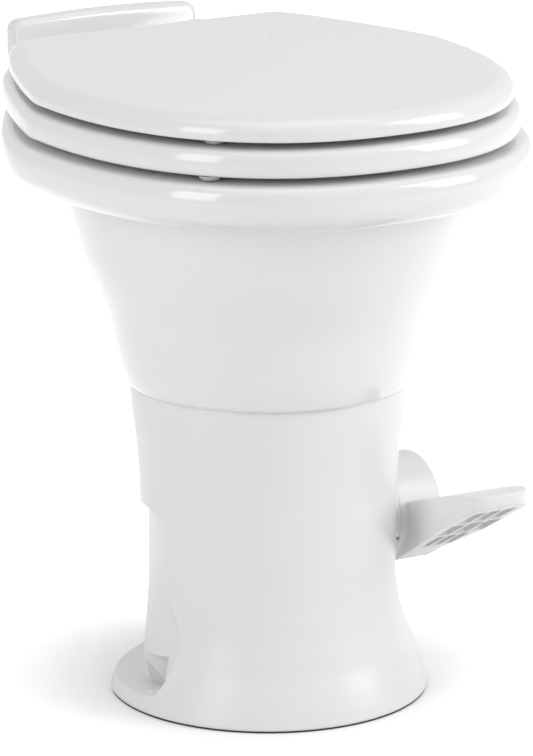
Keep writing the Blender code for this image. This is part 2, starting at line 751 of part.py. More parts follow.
def build_pedestal():
    lip_outer = HOLLOW_RADIUS - LIP_SLACK
    seam = SEAM_HEIGHT - GAP
    inner_top = lip_outer - LIP_WALL
    profile = [(OUTLET_HOLE, 0.0)] + column_profile() + [
        (lip_outer, seam), (lip_outer, seam + LIP_HEIGHT), (inner_top, seam + LIP_HEIGHT),
        (inner_top, WAIST_HEIGHT + SCOOP_TOP / 2),
        (COLUMN_INNER_RADIUS, SCOOP_TOP + OVERRUN), (COLUMN_INNER_RADIUS, FOOT_PLATE),
        (OUTLET_HOLE, FOOT_PLATE),
    ]
    pedestal = turned("pedestal", profile)
    cut_all(pedestal, [scoop_cutter(side) for side in (-1, 1)])
    boss = rod("boss", HOUSING_BOSS_RADIUS, COLUMN_INNER_RADIUS - OVERRUN, HOUSING_FACE_X, X_AXIS,
               (0, 0, AXIS_Z), steps=2 * SMALL_STEPS)
    shells = [boss]
    for side in (-1, 1):
        walls = pocket_prism(
            "pocket_walls", side, POCKET_WALL, POCKET_INNER - POCKET_WALL, SCOOP_BASE_RADIUS,
            FOOT_PLATE / 2, POCKET_TOP + POCKET_WALL,
        )
        keep = rod("keep", COLUMN_INNER_RADIUS + OVERRUN / 2, 0, 2 * POCKET_TOP, steps=RING_STEPS)
        shells.append(combine(walls, keep, "INTERSECT"))
    join_all(pedestal, shells)
    flush_axis = (0, 0, AXIS_Z)
    tools = [
        rod("housing_hole", HOUSING_RADIUS + GAP, HOUSING_INNER_X - OVERRUN, HOUSING_FACE_X + OVERRUN,
            X_AXIS, flush_axis,
            steps=2 * SMALL_STEPS),
        rod("flange_seat", HUB_RADIUS, HOUSING_FACE_X, WAIST_RADIUS + OVERRUN, X_AXIS, flush_axis,
            steps=2 * SMALL_STEPS),
    ]
    for side in (-1, 1):
        tools.append(pocket_prism(
            "pocket", side, 0.0, POCKET_INNER, SCOOP_BASE_RADIUS + POCKET_SILL, POCKET_FLOOR, POCKET_TOP,
        ))
        tools.append(rod("bolt_hole", BOLT_HOLE_RADIUS, -OVERRUN, POCKET_FLOOR + OVERRUN,
                         centre=(side * BOLT_X, 0, 0), steps=SCREW_STEPS))
    tools.append(block(
        "window", (WINDOW_INNER_X, VALVE_FRONT - OVERRUN, AXIS_Z - WINDOW_HALF_HEIGHT),
        (WINDOW_OUTER_X, WAIST_RADIUS + OVERRUN, AXIS_Z + WINDOW_HALF_HEIGHT),
    ))
    tools.append(tube("groove", SEAL_GROOVE_OUTER, SEAL_GROOVE_INNER, -OVERRUN, SEAL_GROOVE_DEPTH,
                      steps=RING_STEPS))
    for place in housing_screw_places():
        tools.append(rod("pilot", M4_RADIUS + GAP, HOUSING_FACE_X - 2 * M4_NUT_RADIUS,
                         HOUSING_FACE_X + OVERRUN, X_AXIS,
                         place, steps=SCREW_STEPS))
    return cut_all(pedestal, tools)


def housing_screw_places():
    """Where the two screws of the cartridge housing lie: above and below the flush axis."""
    return [(0, 0, AXIS_Z + way * HOUSING_SCREW_CIRCLE) for way in (-1, 1)]


def sphere_height(radius, reach=BALL_RADIUS):
    """Height of the ball's surface over the floor, at a distance from the throat's axis."""
    return AXIS_Z + math.sqrt(reach ** 2 - radius ** 2)


def build_valve_body():
    """Ball chamber: a drum across the column, with a flanged neck on top and the outlet below."""
    outer = CHAMBER_RADIUS + CHAMBER_WALL
    side = CHAMBER_HALF + SIDE_WALL
    body = rod("valve_body", outer, -side, side, X_AXIS, (0, 0, AXIS_Z), steps=2 * SMALL_STEPS)
    neck_outer = NECK_RADIUS + NECK_WALL
    neck_bottom = AXIS_Z + NECK_DROP
    foot_bottom = FOOT_PLATE + GAP
    join_all(body, [
        turned("neck", [
            (0, neck_bottom), (neck_outer, neck_bottom), (neck_outer, FLANGE_TOP - FLANGE_THICK),
            (FLANGE_RADIUS, FLANGE_TOP - FLANGE_THICK), (FLANGE_RADIUS, FLANGE_TOP), (0, FLANGE_TOP),
        ]),
        turned("outlet", [
            (0, OUTLET_END), (OUTLET_RADIUS + OUTLET_WALL, OUTLET_END),
            (OUTLET_RADIUS + OUTLET_WALL, foot_bottom),
            (CHAMBER_FOOT_RADIUS, foot_bottom), (CHAMBER_FOOT_RADIUS, foot_bottom + CHAMBER_FOOT_THICK),
            (OUTLET_RADIUS + OUTLET_WALL, foot_bottom + CHAMBER_FOOT_THICK),
            (OUTLET_RADIUS + OUTLET_WALL, AXIS_Z - CHAMBER_RADIUS + OUTLET_WALL),
            (0, AXIS_Z - CHAMBER_RADIUS + OUTLET_WALL),
        ]),
        rod("bosses", BEARING_BOSS_RADIUS, -BEARING_BOSS_X, BEARING_BOSS_X, X_AXIS, (0, 0, AXIS_Z)),
        block("lug", (CHAMBER_HALF + GAP, LUG_FRONT, AXIS_Z - VALVE_HALF_HEIGHT),
              (CHAMBER_HALF + LUG_THICK, LUG_BACK, AXIS_Z + VALVE_HALF_HEIGHT)),
    ])
    cut_all(body, [
        rod("cavity", CHAMBER_RADIUS, -CHAMBER_HALF, CHAMBER_HALF, X_AXIS, (0, 0, AXIS_Z),
            steps=2 * SMALL_STEPS),
    ])
    join_all(body, [turned("neck_lip", [
        (NECK_RADIUS, neck_bottom), (neck_outer, neck_bottom), (neck_outer, AXIS_Z + outer),
        (NECK_RADIUS, AXIS_Z + outer),
    ])])
    ledge = AXIS_Z + NECK_LEDGE_HEIGHT
    tools = [
        turned("neck_bore", [
            (0, neck_bottom - OVERRUN / 4), (NECK_RADIUS, neck_bottom - OVERRUN / 4), (NECK_RADIUS, ledge),
            (NECK_LEDGE_RADIUS, ledge), (NECK_LEDGE_RADIUS, FLANGE_TOP + OVERRUN),
            (0, FLANGE_TOP + OVERRUN),
        ]),
        rod("outlet_bore", OUTLET_RADIUS, -OVERRUN, AXIS_Z - CHAMBER_RADIUS / 2, steps=RING_STEPS),
        rod("bearing_bore", BUSH_RADIUS + GAP, -BEARING_BOSS_X - OVERRUN, BEARING_BOSS_X + OVERRUN, X_AXIS,
            (0, 0, AXIS_Z)),
    ]
    for rise in (-VALVE_SCREW_RISE, VALVE_SCREW_RISE):
        spot = (0, VALVE_SCREW_Y, AXIS_Z + rise)
        tools.append(rod("lug_hole", M4_RADIUS + GAP, CHAMBER_HALF - OVERRUN,
                         CHAMBER_HALF + LUG_THICK + OVERRUN, X_AXIS,
                         spot, steps=SCREW_STEPS))
    return cut_all(body, tools)


def build_seals():
    """Rubber rings: under the foot, between bowl and neck, round the ball and on the shaft."""
    flange_seal = tube("flange_seal", SEAL_GROOVE_OUTER - GAP, SEAL_GROOVE_INNER + GAP, GAP,
                       SEAL_GROOVE_DEPTH - GAP,
                       steps=RING_STEPS)
    bowl_seal = tube("bowl_seal", FLANGE_RADIUS - GAP, THROAT_RADIUS + GAP, SEAL_BOTTOM,
                     SEAL_BOTTOM + BOWL_SEAL_THICK,
                     steps=RING_STEPS)
    seal_outer = NECK_RADIUS - GAP
    lifted = BALL_RADIUS + 2 * GAP
    ball_seal = turned("ball_seal", [
        (BALL_SEAL_INNER, sphere_height(BALL_SEAL_INNER, lifted)),
        (seal_outer, sphere_height(seal_outer, lifted)),
        (seal_outer, AXIS_Z + NECK_LEDGE_HEIGHT - GAP), (BALL_SEAL_INNER, AXIS_Z + NECK_LEDGE_HEIGHT - GAP),
    ])
    start = BEARING_BOSS_X - SEAL_LENGTH
    rings = [
        tube("ring", BUSH_RADIUS, SHAFT_RADIUS + GAP, *sorted((side * start, side * BEARING_BOSS_X)),
             X_AXIS,
             (0, 0, AXIS_Z))
        for side in (-1, 1)
    ]
    return flange_seal, bowl_seal, ball_seal, name_set("shaft_seal", rings)


def build_bushes():
    end = BEARING_BOSS_X - SEAL_LENGTH - GAP
    bushes = [
        tube("bush", BUSH_RADIUS, SHAFT_RADIUS + SLIP, *sorted((side * (end - BUSH_LENGTH), side * end)),
             X_AXIS,
             (0, 0, AXIS_Z))
        for side in (-1, 1)
    ]
    return name_set("shaft_bush", bushes)


def build_ball():
    """Flush ball: a dished cap that closes the throat, on two arms with bosses on the axis."""
    arc = 4
    inner = BALL_RADIUS - BALL_WALL
    profile = []
    for radius, order in ((BALL_RADIUS, range(arc + 1)), (inner, range(arc, -1, -1))):
        for i in order:
            angle = BALL_CAP_ANGLE * i / arc
            profile.append((radius * math.sin(angle), AXIS_Z + radius * math.cos(angle)))
    ball = turned("flush_ball", profile)
    arm_top = (sphere_height(ARM_INNER_X, inner) + sphere_height(ARM_OUTER_X)) / 2
    arm = [
        (-BALL_BOSS_RADIUS * ARM_ROOT_SHARE, AXIS_Z), (BALL_BOSS_RADIUS * ARM_ROOT_SHARE, AXIS_Z),
        (ARM_HALF_WIDTH, arm_top - BALL_WALL / 4), (-ARM_HALF_WIDTH, arm_top - BALL_WALL / 4),
    ]
    for side in (-1, 1):
        low, high = sorted((side * ARM_INNER_X, side * ARM_OUTER_X))
        boss_low, boss_high = sorted((side * ARM_INNER_X, side * BALL_BOSS_OUTER_X))
        combine(ball, prism("arm", arm, low, high, sideways), "UNION")
        combine(ball, rod("boss", BALL_BOSS_RADIUS, boss_low, boss_high, X_AXIS, (0, 0, AXIS_Z)), "UNION")
        hole_low, hole_high = sorted((side * SHAFT_SOCKET, side * (BALL_BOSS_OUTER_X + OVERRUN)))
        combine(ball, rod("socket", SHAFT_RADIUS + GAP, hole_low, hole_high, X_AXIS, (0, 0, AXIS_Z)),
                "DIFFERENCE")
    return ball


def build_shafts():
    start = SHAFT_SOCKET + GAP
    pivot = rod("pivot_pin", SHAFT_RADIUS, -BEARING_BOSS_X, -start, X_AXIS, (0, 0, AXIS_Z))
    shaft = rod("drive_shaft", SHAFT_RADIUS, start, HUB_FACE_X - SHAFT_END_INSET, X_AXIS, (0, 0, AXIS_Z))
    bore = rod("thread", M4_RADIUS + GAP, HUB_FACE_X - 4 * SHAFT_END_INSET, HUB_FACE_X, X_AXIS,
               (0, 0, AXIS_Z), steps=SCREW_STEPS)
    return pivot, combine(shaft, bore, "DIFFERENCE")


def build_cam():
    """Spiral cam: its radius grows evenly with the angle, so the plunger moves evenly too."""
    steps = 14
    outline = []
    for i in range(steps + 1):
        angle = CAM_LEAD_ANGLE - (CAM_LEAD_ANGLE + CAM_LIFT_ANGLE) * i / steps
        radius = CAM_RADIUS - CAM_LIFT_PER_RADIAN * angle
        outline.append((radius * math.cos(angle), AXIS_Z + radius * math.sin(angle)))
    back = FULL_TURN - CAM_LEAD_ANGLE - CAM_LIFT_ANGLE
    lowest = CAM_RADIUS - CAM_LIFT_PER_RADIAN * CAM_LEAD_ANGLE
    for i in range(1, steps):
        angle = -CAM_LIFT_ANGLE - back * i / steps
        radius = max(lowest, CAM_RADIUS + CAM_LIFT_PER_RADIAN * CAM_LIFT_ANGLE * (1 - 4 * i / steps))
        outline.append((radius * math.cos(angle), AXIS_Z + radius * math.sin(angle)))
    cam = prism("drive_cam", outline, CAM_X - CAM_HALF, CAM_X + CAM_HALF, sideways)
    bore = rod("bore", SHAFT_RADIUS + GAP, CAM_X - 2 * CAM_HALF, CAM_X + 2 * CAM_HALF, X_AXIS,
               (0, 0, AXIS_Z))
    return combine(cam, bore, "DIFFERENCE")


def build_clamp_half(name, side):
    """Half clamp with a channel that grips both flanges, and an ear at each end."""
    low = FLANGE_TOP - FLANGE_THICK - GAP
    high = SPIGOT_BOTTOM + BOWL_FLANGE_THICK + GAP
    groove = FLANGE_RADIUS + GAP
    half = turned(name, [
        (CLAMP_LIP_RADIUS, low - CLAMP_LIP), (CLAMP_OUTER_RADIUS, low - CLAMP_LIP),
        (CLAMP_OUTER_RADIUS, high + CLAMP_LIP),
        (CLAMP_LIP_RADIUS, high + CLAMP_LIP), (CLAMP_LIP_RADIUS, high), (groove, high), (groove, low),
        (CLAMP_LIP_RADIUS, low),
    ])
    ear_back = CLAMP_SPLIT + CLAMP_EAR_THICK
    ears = [
        block("ear", (min(end * groove, end * CLAMP_EAR_REACH) + GAP, 0, low),
              (max(end * groove, end * CLAMP_EAR_REACH) - GAP, ear_back, high))
        for end in (-1, 1)
    ]
    join_all(half, ears)
    room = 2 * CLAMP_EAR_REACH
    keep = block("keep", (-room, CLAMP_SPLIT / 2, 0), (room, room, 2 * high))
    combine(half, keep, "INTERSECT")
    holes = [
        rod("hole", M4_RADIUS + GAP, -ear_back - OVERRUN, ear_back + OVERRUN, Y_AXIS,
            (end * CLAMP_SCREW_X, 0, (low + high) / 2), steps=SCREW_STEPS)
        for end in (-1, 1)
    ]
    cut_all(half, holes)
    if side < 0:
        turn = Matrix.Rotation(math.pi, 4, "Z")
        half.data.transform(turn)
    return half


def clamp_middle():
    return (FLANGE_TOP - FLANGE_THICK + SPIGOT_BOTTOM + BOWL_FLANGE_THICK) / 2


def headed_screw(name, head_radius, head_height, shank_radius, shank_length, axis, centre,
                 steps=SCREW_STEPS):
    """Screw whose head rests on the plane through the centre; its shank points against the axis."""
    profile = [
        (0, -shank_length), (shank_radius, -shank_length), (shank_radius, 0), (head_radius, 0),
        (head_radius, head_height * HEAD_SIDE_SHARE), (head_radius * HEAD_TOP_SHARE, head_height),
        (0, head_height),
    ]
    return turned(name, profile, steps, axis, centre)


def hex_nut(name, radius, height, bore, centre, axis=Z_AXIS):
    nut = rod(name, radius, 0, height, axis, centre, steps=6)
    hole = rod("bore", bore, -OVERRUN, height + OVERRUN, axis, centre, steps=SCREW_STEPS)
    return combine(nut, hole, "DIFFERENCE")


def build_clamp_hardware():
    ear = CLAMP_SPLIT + CLAMP_EAR_THICK
    screws, nuts = [], []
    for end in (-1, 1):
        spot = (end * CLAMP_SCREW_X, -ear - GAP, clamp_middle())
        screws.append(headed_screw("screw", M4_HEAD_RADIUS, M4_HEAD_HEIGHT, M4_RADIUS,
                                   2 * ear + M4_NUT_HEIGHT + 2 * GAP,
                                   -Y_AXIS, spot))
        nuts.append(hex_nut("nut", M4_NUT_RADIUS, M4_NUT_HEIGHT, M4_RADIUS + GAP,
                            (end * CLAMP_SCREW_X, ear + GAP, clamp_middle()), Y_AXIS))
    return name_set("clamp_screw", screws), name_set("clamp_nut", nuts)


def build_floor_bolts():
    bolts, nuts = [], []
    seat = POCKET_FLOOR + GAP
    for side in (-1, 1):
        spot = (side * BOLT_X, 0, 0)
        bolts.append(rod("bolt", BOLT_RADIUS, GAP, BOLT_TOP, centre=spot, steps=SCREW_STEPS))
        nut = hex_nut("nut", NUT_RADIUS, NUT_HEIGHT, BOLT_RADIUS + GAP, (side * BOLT_X, 0, seat))
        nuts.append(nut)
    return name_set("closet_bolt", bolts), name_set("closet_nut", nuts)


def build_housing():
    """Cartridge housing: a cup through the column's boss, open towards the pedal hub."""
    face = HOUSING_FACE_X + GAP
    housing = turned("cartridge_housing", [
        (SHAFT_RADIUS + SLIP, HOUSING_INNER_X), (HOUSING_RADIUS, HOUSING_INNER_X), (HOUSING_RADIUS, face),
        (HOUSING_FLANGE_RADIUS, face), (HOUSING_FLANGE_RADIUS, face + HOUSING_FLANGE_THICK),
        (HOUSING_CAVITY_RADIUS, face + HOUSING_FLANGE_THICK),
        (HOUSING_CAVITY_RADIUS, HOUSING_INNER_X + HOUSING_END_WALL),
        (SHAFT_RADIUS + SLIP, HOUSING_INNER_X + HOUSING_END_WALL),
    ], 2 * SMALL_STEPS, X_AXIS, (0, 0, AXIS_Z))
    screws = []
    head_seat = face + HOUSING_FLANGE_THICK - M4_HEAD_HEIGHT - GAP
    for spot in housing_screw_places():
        combine(housing, rod("hole", M4_RADIUS + GAP, face - OVERRUN, face + HOUSING_FLANGE_THICK + OVERRUN,
                             X_AXIS, spot,
                             steps=SCREW_STEPS), "DIFFERENCE")
        combine(housing, rod("sink", M4_HEAD_RADIUS + GAP, head_seat - GAP,
                             face + HOUSING_FLANGE_THICK + OVERRUN, X_AXIS,
                             spot, steps=SMALL_STEPS), "DIFFERENCE")
        screws.append(headed_screw("screw", M4_HEAD_RADIUS, M4_HEAD_HEIGHT, M4_RADIUS, 3 * M4_NUT_HEIGHT,
                                   X_AXIS,
                                   (head_seat, spot[1], spot[2])))
    return housing, name_set("housing_screw", screws, ("lower", "upper"))


def build_spring():
    """Torsion spring: one round wire wound round the pedal's sleeve, laid against the end wall."""
    path = bpy.data.curves.new("torsion_spring", "CURVE")
    path.dimensions = "3D"
    path.bevel_depth = SPRING_WIRE
    path.bevel_resolution = 0
    path.use_fill_caps = True
    per_turn = 12
    count = SPRING_TURNS * per_turn + 1
    line = path.splines.new("POLY")
    line.points.add(count - 1)
    start = HOUSING_INNER_X + HOUSING_END_WALL + SPRING_WIRE + GAP
    for i in range(count):
        angle = FULL_TURN * i / per_turn
        x = start + SPRING_PITCH * i / per_turn
        line.points[i].co = (x, SPRING_RADIUS * math.cos(angle), AXIS_Z + SPRING_RADIUS * math.sin(angle),
                             1)
    made = bpy.data.objects.new("torsion_spring", path)
    bpy.context.scene.collection.objects.link(made)
    return made


def pedal_bottom(y):
    return AXIS_Z - PEDAL_BOTTOM_DROP - y * math.tan(PEDAL_RISE_BOTTOM)


def pedal_top(y):
    return AXIS_Z + PEDAL_TOP_LIFT - y * math.tan(PEDAL_RISE_TOP)


def pedal_plan():
    """Pedal outline from above, from the hub to the rounded toe."""
    toe_corner = (PEDAL_TOE_OUTER_X - PEDAL_TOE_INNER_X) / 6
    return [
        (PEDAL_INNER_X, 0.0),
        (PEDAL_INNER_X, -HUB_RADIUS),
        (PEDAL_TOE_INNER_X, PEDAL_TOE_INNER * PEDAL_FLARE_SHARE),
        (PEDAL_TOE_INNER_X, PEDAL_TOE_INNER),
        (PEDAL_TOE_INNER_X + toe_corner, (PEDAL_TOE_INNER + PEDAL_TOE_MIDDLE * 2) / 3),
        ((PEDAL_TOE_INNER_X + PEDAL_TOE_OUTER_X) / 2, PEDAL_TOE_MIDDLE),
        (PEDAL_TOE_OUTER_X - toe_corner, (PEDAL_TOE_OUTER + PEDAL_TOE_MIDDLE * 2) / 3),
        (PEDAL_TOE_OUTER_X, PEDAL_TOE_OUTER),
        (PEDAL_TOE_OUTER_X, PEDAL_TOE_OUTER * PEDAL_BULGE_SHARE),
        (HUB_FACE_X, -HUB_RADIUS),
        (HUB_FACE_X, 0.0),
    ]


def build_pedal():
    """Pedal: a wedge-shaped tread, ribbed underneath, in one moulding with its cup-shaped hub."""
    toe = PEDAL_TOE_MIDDLE - OVERRUN
    side = [
        (0.0, AXIS_Z - HUB_RADIUS + PEDAL_SKIN), (-HUB_RADIUS / 2, pedal_bottom(-HUB_RADIUS / 2)),
        (toe, pedal_bottom(toe)), (toe, pedal_top(toe)),
        (-HUB_RADIUS * PEDAL_FLARE_SHARE, pedal_top(-HUB_RADIUS * PEDAL_FLARE_SHARE)),
        (0.0, AXIS_Z + HUB_RADIUS / 2),
    ]
    tread = prism("pedal", side, PEDAL_TOE_INNER_X - OVERRUN, PEDAL_TOE_OUTER_X + OVERRUN, sideways)
    plan = prism("plan", pedal_plan(), 0.0, 2 * AXIS_Z, upright)
    combine(tread, plan, "INTERSECT")
    hub_start = HOUSING_FACE_X + HOUSING_FLANGE_THICK + HUB_GAP
    hub = turned("hub", [
        (0, hub_start), (HUB_RADIUS, hub_start), (HUB_RADIUS, HUB_FACE_X - HUB_EDGE),
        (HUB_RADIUS - HUB_EDGE * 0.3, HUB_FACE_X - HUB_EDGE * 0.3), (HUB_RADIUS - HUB_EDGE, HUB_FACE_X),
        (0, HUB_FACE_X),
    ], 2 * SMALL_STEPS, X_AXIS, (0, 0, AXIS_Z))
    combine(tread, hub, "UNION")
    cut_all(tread, pedal_cells())
    cup = tube("cup", HUB_RADIUS - HUB_WALL, SLEEVE_RADIUS, hub_start - OVERRUN, HUB_FACE_X - HUB_WALL,
               X_AXIS,
               (0, 0, AXIS_Z), steps=2 * SMALL_STEPS)
    shaft_hole = rod("shaft_hole", SHAFT_RADIUS + GAP, hub_start - OVERRUN,
                     HUB_FACE_X - SHAFT_END_INSET + GAP, X_AXIS,
                     (0, 0, AXIS_Z))
    screw_hole = rod("screw_hole", M4_RADIUS + GAP, hub_start, HUB_FACE_X + OVERRUN, X_AXIS, (0, 0, AXIS_Z),
                     steps=SCREW_STEPS)
    return cut_all(tread, [cup, shaft_hole, screw_hole])


def pedal_cells():
    """Cutters for the grid of cells under the tread; what stays between them are the ribs."""
    cells = []
    toe = PEDAL_TOE_MIDDLE * PEDAL_CELLS_END_SHARE
    depth = (PEDAL_CELLS_START - toe) / PEDAL_CELL_ROWS
    for row in range(PEDAL_CELL_ROWS):
        near = PEDAL_CELLS_START - depth * row - PEDAL_RIB / 2
        far = PEDAL_CELLS_START - depth * (row + 1) + PEDAL_RIB / 2
        spread = min(1.0, (near + HUB_RADIUS) / (PEDAL_TOE_INNER * PEDAL_FLARE_SHARE + HUB_RADIUS))
        left = PEDAL_INNER_X + (PEDAL_TOE_INNER_X - PEDAL_INNER_X) * spread + PEDAL_SKIN
        right_share = min(1.0, (near + HUB_RADIUS) / (PEDAL_TOE_OUTER * PEDAL_BULGE_SHARE + HUB_RADIUS))
        right = HUB_FACE_X + (PEDAL_TOE_OUTER_X - HUB_FACE_X) * right_share - PEDAL_SKIN
        if row == PEDAL_CELL_ROWS - 1:
            left += 2 * PEDAL_SKIN
            right -= 2 * PEDAL_SKIN
        width = (right - left) / PEDAL_CELL_COLUMNS
        for column in range(PEDAL_CELL_COLUMNS):
            low = left + width * column + PEDAL_RIB / 2
            high = left + width * (column + 1) - PEDAL_RIB / 2
            outline = [
                (near, pedal_bottom(near) - OVERRUN), (far, pedal_bottom(far) - OVERRUN),
                (far, pedal_top(far) - PEDAL_SKIN), (near, pedal_top(near) - PEDAL_SKIN),
            ]
            cells.append(prism("cell", outline, low, high, sideways))
    return cells


def build_pedal_screw():
    return headed_screw("pedal_screw", M4_HEAD_RADIUS * PEDAL_SCREW_HEAD_SHARE, M4_HEAD_HEIGHT, M4_RADIUS,
                        3 * SHAFT_END_INSET, X_AXIS,
                        (HUB_FACE_X + GAP, 0, AXIS_Z), SMALL_STEPS)


def build_valve():
    """Water valve: a body on the chamber's lug, a plunger on the cam, and its screws."""
    inner = CHAMBER_HALF + LUG_THICK + GAP
    outer = CAM_X + VALVE_HALF_WIDTH
    body = soften(block("water_valve", (inner, VALVE_FRONT, AXIS_Z - VALVE_HALF_HEIGHT),
                        (outer, VALVE_BACK, AXIS_Z + VALVE_HALF_HEIGHT)), VALVE_EDGE)
    barb_top = AXIS_Z + VALVE_HALF_HEIGHT + BARB_LENGTH
    combine(body, rod("barb", BARB_RADIUS, AXIS_Z, barb_top, centre=(CAM_X, BARB_Y, 0)), "UNION")
    bore = PLUNGER_RADIUS + SLIP
    tools = [
        rod("bore", bore, VALVE_FRONT - OVERRUN, VALVE_FRONT + VALVE_BORE_DEPTH, Y_AXIS,
            (CAM_X, 0, AXIS_Z)),
    ]
    screws = []
    for rise in (-VALVE_SCREW_RISE, VALVE_SCREW_RISE):
        spot = (outer + GAP, VALVE_SCREW_Y, AXIS_Z + rise)
        hole = (0, VALVE_SCREW_Y, AXIS_Z + rise)
        tools.append(rod("hole", M4_RADIUS + GAP, inner - OVERRUN, outer + OVERRUN, X_AXIS, hole,
                         steps=SCREW_STEPS))
        screws.append(headed_screw("screw", M4_HEAD_RADIUS, M4_HEAD_HEIGHT, M4_RADIUS,
                                   outer - inner + LUG_THICK, X_AXIS, spot))
    cut_all(body, tools)
    tip = CAM_RADIUS + GAP
    head_back = tip + PLUNGER_HEAD
    end = VALVE_FRONT + PLUNGER_INSERT
    plunger = turned("valve_plunger", [
        (0, tip), (PLUNGER_HEAD_RADIUS, tip + PLUNGER_TIP), (PLUNGER_HEAD_RADIUS, head_back),
        (PLUNGER_RADIUS, head_back), (PLUNGER_RADIUS, end), (0, end),
    ], SMALL_STEPS, Y_AXIS, (CAM_X, 0, AXIS_Z))
    start = VALVE_BACK + GAP
    fitting = turned("inlet_fitting", [
        (FITTING_BORE, start), (FITTING_RADIUS, start), (FITTING_RADIUS, start + FITTING_LENGTH),
        (FITTING_BORE, start + FITTING_LENGTH),
    ], SMALL_STEPS, Y_AXIS, (CAM_X, 0, AXIS_Z))
    grip = rod("grip", FITTING_HEX, start, start + FITTING_HEX_LENGTH, Y_AXIS, (CAM_X, 0, AXIS_Z), steps=6)
    hole = rod("hole", FITTING_BORE + GAP, start - OVERRUN, start + FITTING_HEX_LENGTH + OVERRUN, Y_AXIS,
               (CAM_X, 0, AXIS_Z))
    combine(grip, hole, "DIFFERENCE")
    combine(fitting, grip, "UNION")
    return body, plunger, name_set("valve_screw", screws, ("lower", "upper")), fitting


def build_breaker():
    """Vacuum breaker behind the bowl, on the inlet nozzle, with a vented cap."""
    centre = (0, breaker_y(), 0)
    breaker = turned("vacuum_breaker", [
        (0, BREAKER_BOTTOM - BREAKER_BARB), (BARB_RADIUS, BREAKER_BOTTOM - BREAKER_BARB),
        (BARB_RADIUS, BREAKER_BOTTOM),
        (BREAKER_RADIUS, BREAKER_BOTTOM + OVERRUN), (BREAKER_RADIUS, BREAKER_TOP), (0, BREAKER_TOP),
    ], SMALL_STEPS, centre=centre)
    socket = rod("socket", NOZZLE_RADIUS + GAP, breaker_y() - BREAKER_RADIUS - OVERRUN, breaker_y(), Y_AXIS,
                 (0, 0, NOZZLE_Z))
    combine(breaker, socket, "DIFFERENCE")
    base = BREAKER_TOP + GAP
    cap = turned("breaker_cap", [
        (0, base), (BREAKER_CAP_RADIUS, base), (BREAKER_CAP_RADIUS, base + BREAKER_CAP * CAP_SIDE_SHARE),
        (BREAKER_CAP_RADIUS * CAP_TOP_SHARE, base + BREAKER_CAP), (0, base + BREAKER_CAP),
    ], SMALL_STEPS, centre=centre)
    nozzle = turned("bowl_inlet", [
        (NOZZLE_BORE, NOZZLE_INNER), (NOZZLE_RADIUS, NOZZLE_INNER), (NOZZLE_RADIUS, nozzle_flange_y()),
        (NOZZLE_FLANGE, nozzle_flange_y()), (NOZZLE_FLANGE, nozzle_flange_y() + NOZZLE_FLANGE_THICK),
        (NOZZLE_RADIUS, nozzle_flange_y() + NOZZLE_FLANGE_THICK), (NOZZLE_RADIUS, breaker_y() - GAP),
        (NOZZLE_BORE, breaker_y() - GAP),
    ], SMALL_STEPS, Y_AXIS, (0, 0, NOZZLE_Z))
    return breaker, cap, nozzle


def hose_route():
    """Line of the supply hose from the valve's outlet up to the vacuum breaker, straight at both ends."""
    start = Vector((CAM_X, BARB_Y, AXIS_Z + VALVE_HALF_HEIGHT + BARB_LENGTH + GAP))
    end = Vector((0, breaker_y(), BREAKER_BOTTOM - BREAKER_BARB - GAP))
    first, fourth = start + Z_AXIS * HOSE_LEAD, end - Z_AXIS * HOSE_LEAD
    pull = Z_AXIS * (fourth.z - first.z) / 2
    second, third = first + pull, fourth - pull
    route = [start]
    for i in range(HOSE_SAMPLES):
        share = i / (HOSE_SAMPLES - 1)
        rest = 1 - share
        route.append(
            first * rest ** 3 + second * 3 * share * rest ** 2
            + third * 3 * share ** 2 * rest + fourth * share ** 3
        )
    return route + [end]


def build_hose():
    route = hose_route()
    path = bpy.data.curves.new("supply_hose", "CURVE")
    path.dimensions = "3D"
    path.bevel_depth = HOSE_RADIUS
    path.bevel_resolution = 1
    path.use_fill_caps = True
    line = path.splines.new("POLY")
    line.points.add(len(route) - 1)
    for point, spot in zip(line.points, route):
        point.co = (*spot, 1)
    made = bpy.data.objects.new("supply_hose", path)
    bpy.context.scene.collection.objects.link(made)
    clamps = []
    for spot, way in ((route[0], 1), (route[-1], -1)):
        low, high = sorted((spot.z + way * HOSE_CLAMP_WIDTH / 2, spot.z + way * HOSE_CLAMP_WIDTH * 1.5))
        centre = (spot.x, spot.y, 0)
        inner = HOSE_RADIUS + 2 * GAP
        outer = inner + HOSE_CLAMP_WALL
        ring = tube("clamp", outer, inner, low, high, centre=centre)
        screw = block("screw", (spot.x - HOSE_CLAMP_WIDTH / 2, spot.y + outer - HOSE_CLAMP_WALL / 2,
                                low + GAP),
                      (spot.x + HOSE_CLAMP_WIDTH / 2, spot.y + outer + HOSE_CLAMP_WIDTH / 2, high - GAP))
        clamps.append(combine(ring, screw, "UNION"))
    return made, name_set("hose_clamp", clamps, ("lower", "upper"))


def knuckle(name, x_low, x_high, root, bottom, top):
    """Hinge knuckle: a flat tongue from the back edge to a barrel on the hinge axis."""
    tongue = block(name, (x_low, root, bottom), (x_high, HINGE_Y, top))
    barrel = rod("barrel", BARREL_RADIUS, x_low, x_high, X_AXIS, (0, HINGE_Y, HINGE_Z))
    combine(tongue, barrel, "UNION")
    bore = rod("bore", PIN_RADIUS + SLIP, x_low - OVERRUN, x_high + OVERRUN, X_AXIS, (0, HINGE_Y, HINGE_Z),
               steps=SCREW_STEPS)
    return combine(tongue, bore, "DIFFERENCE")


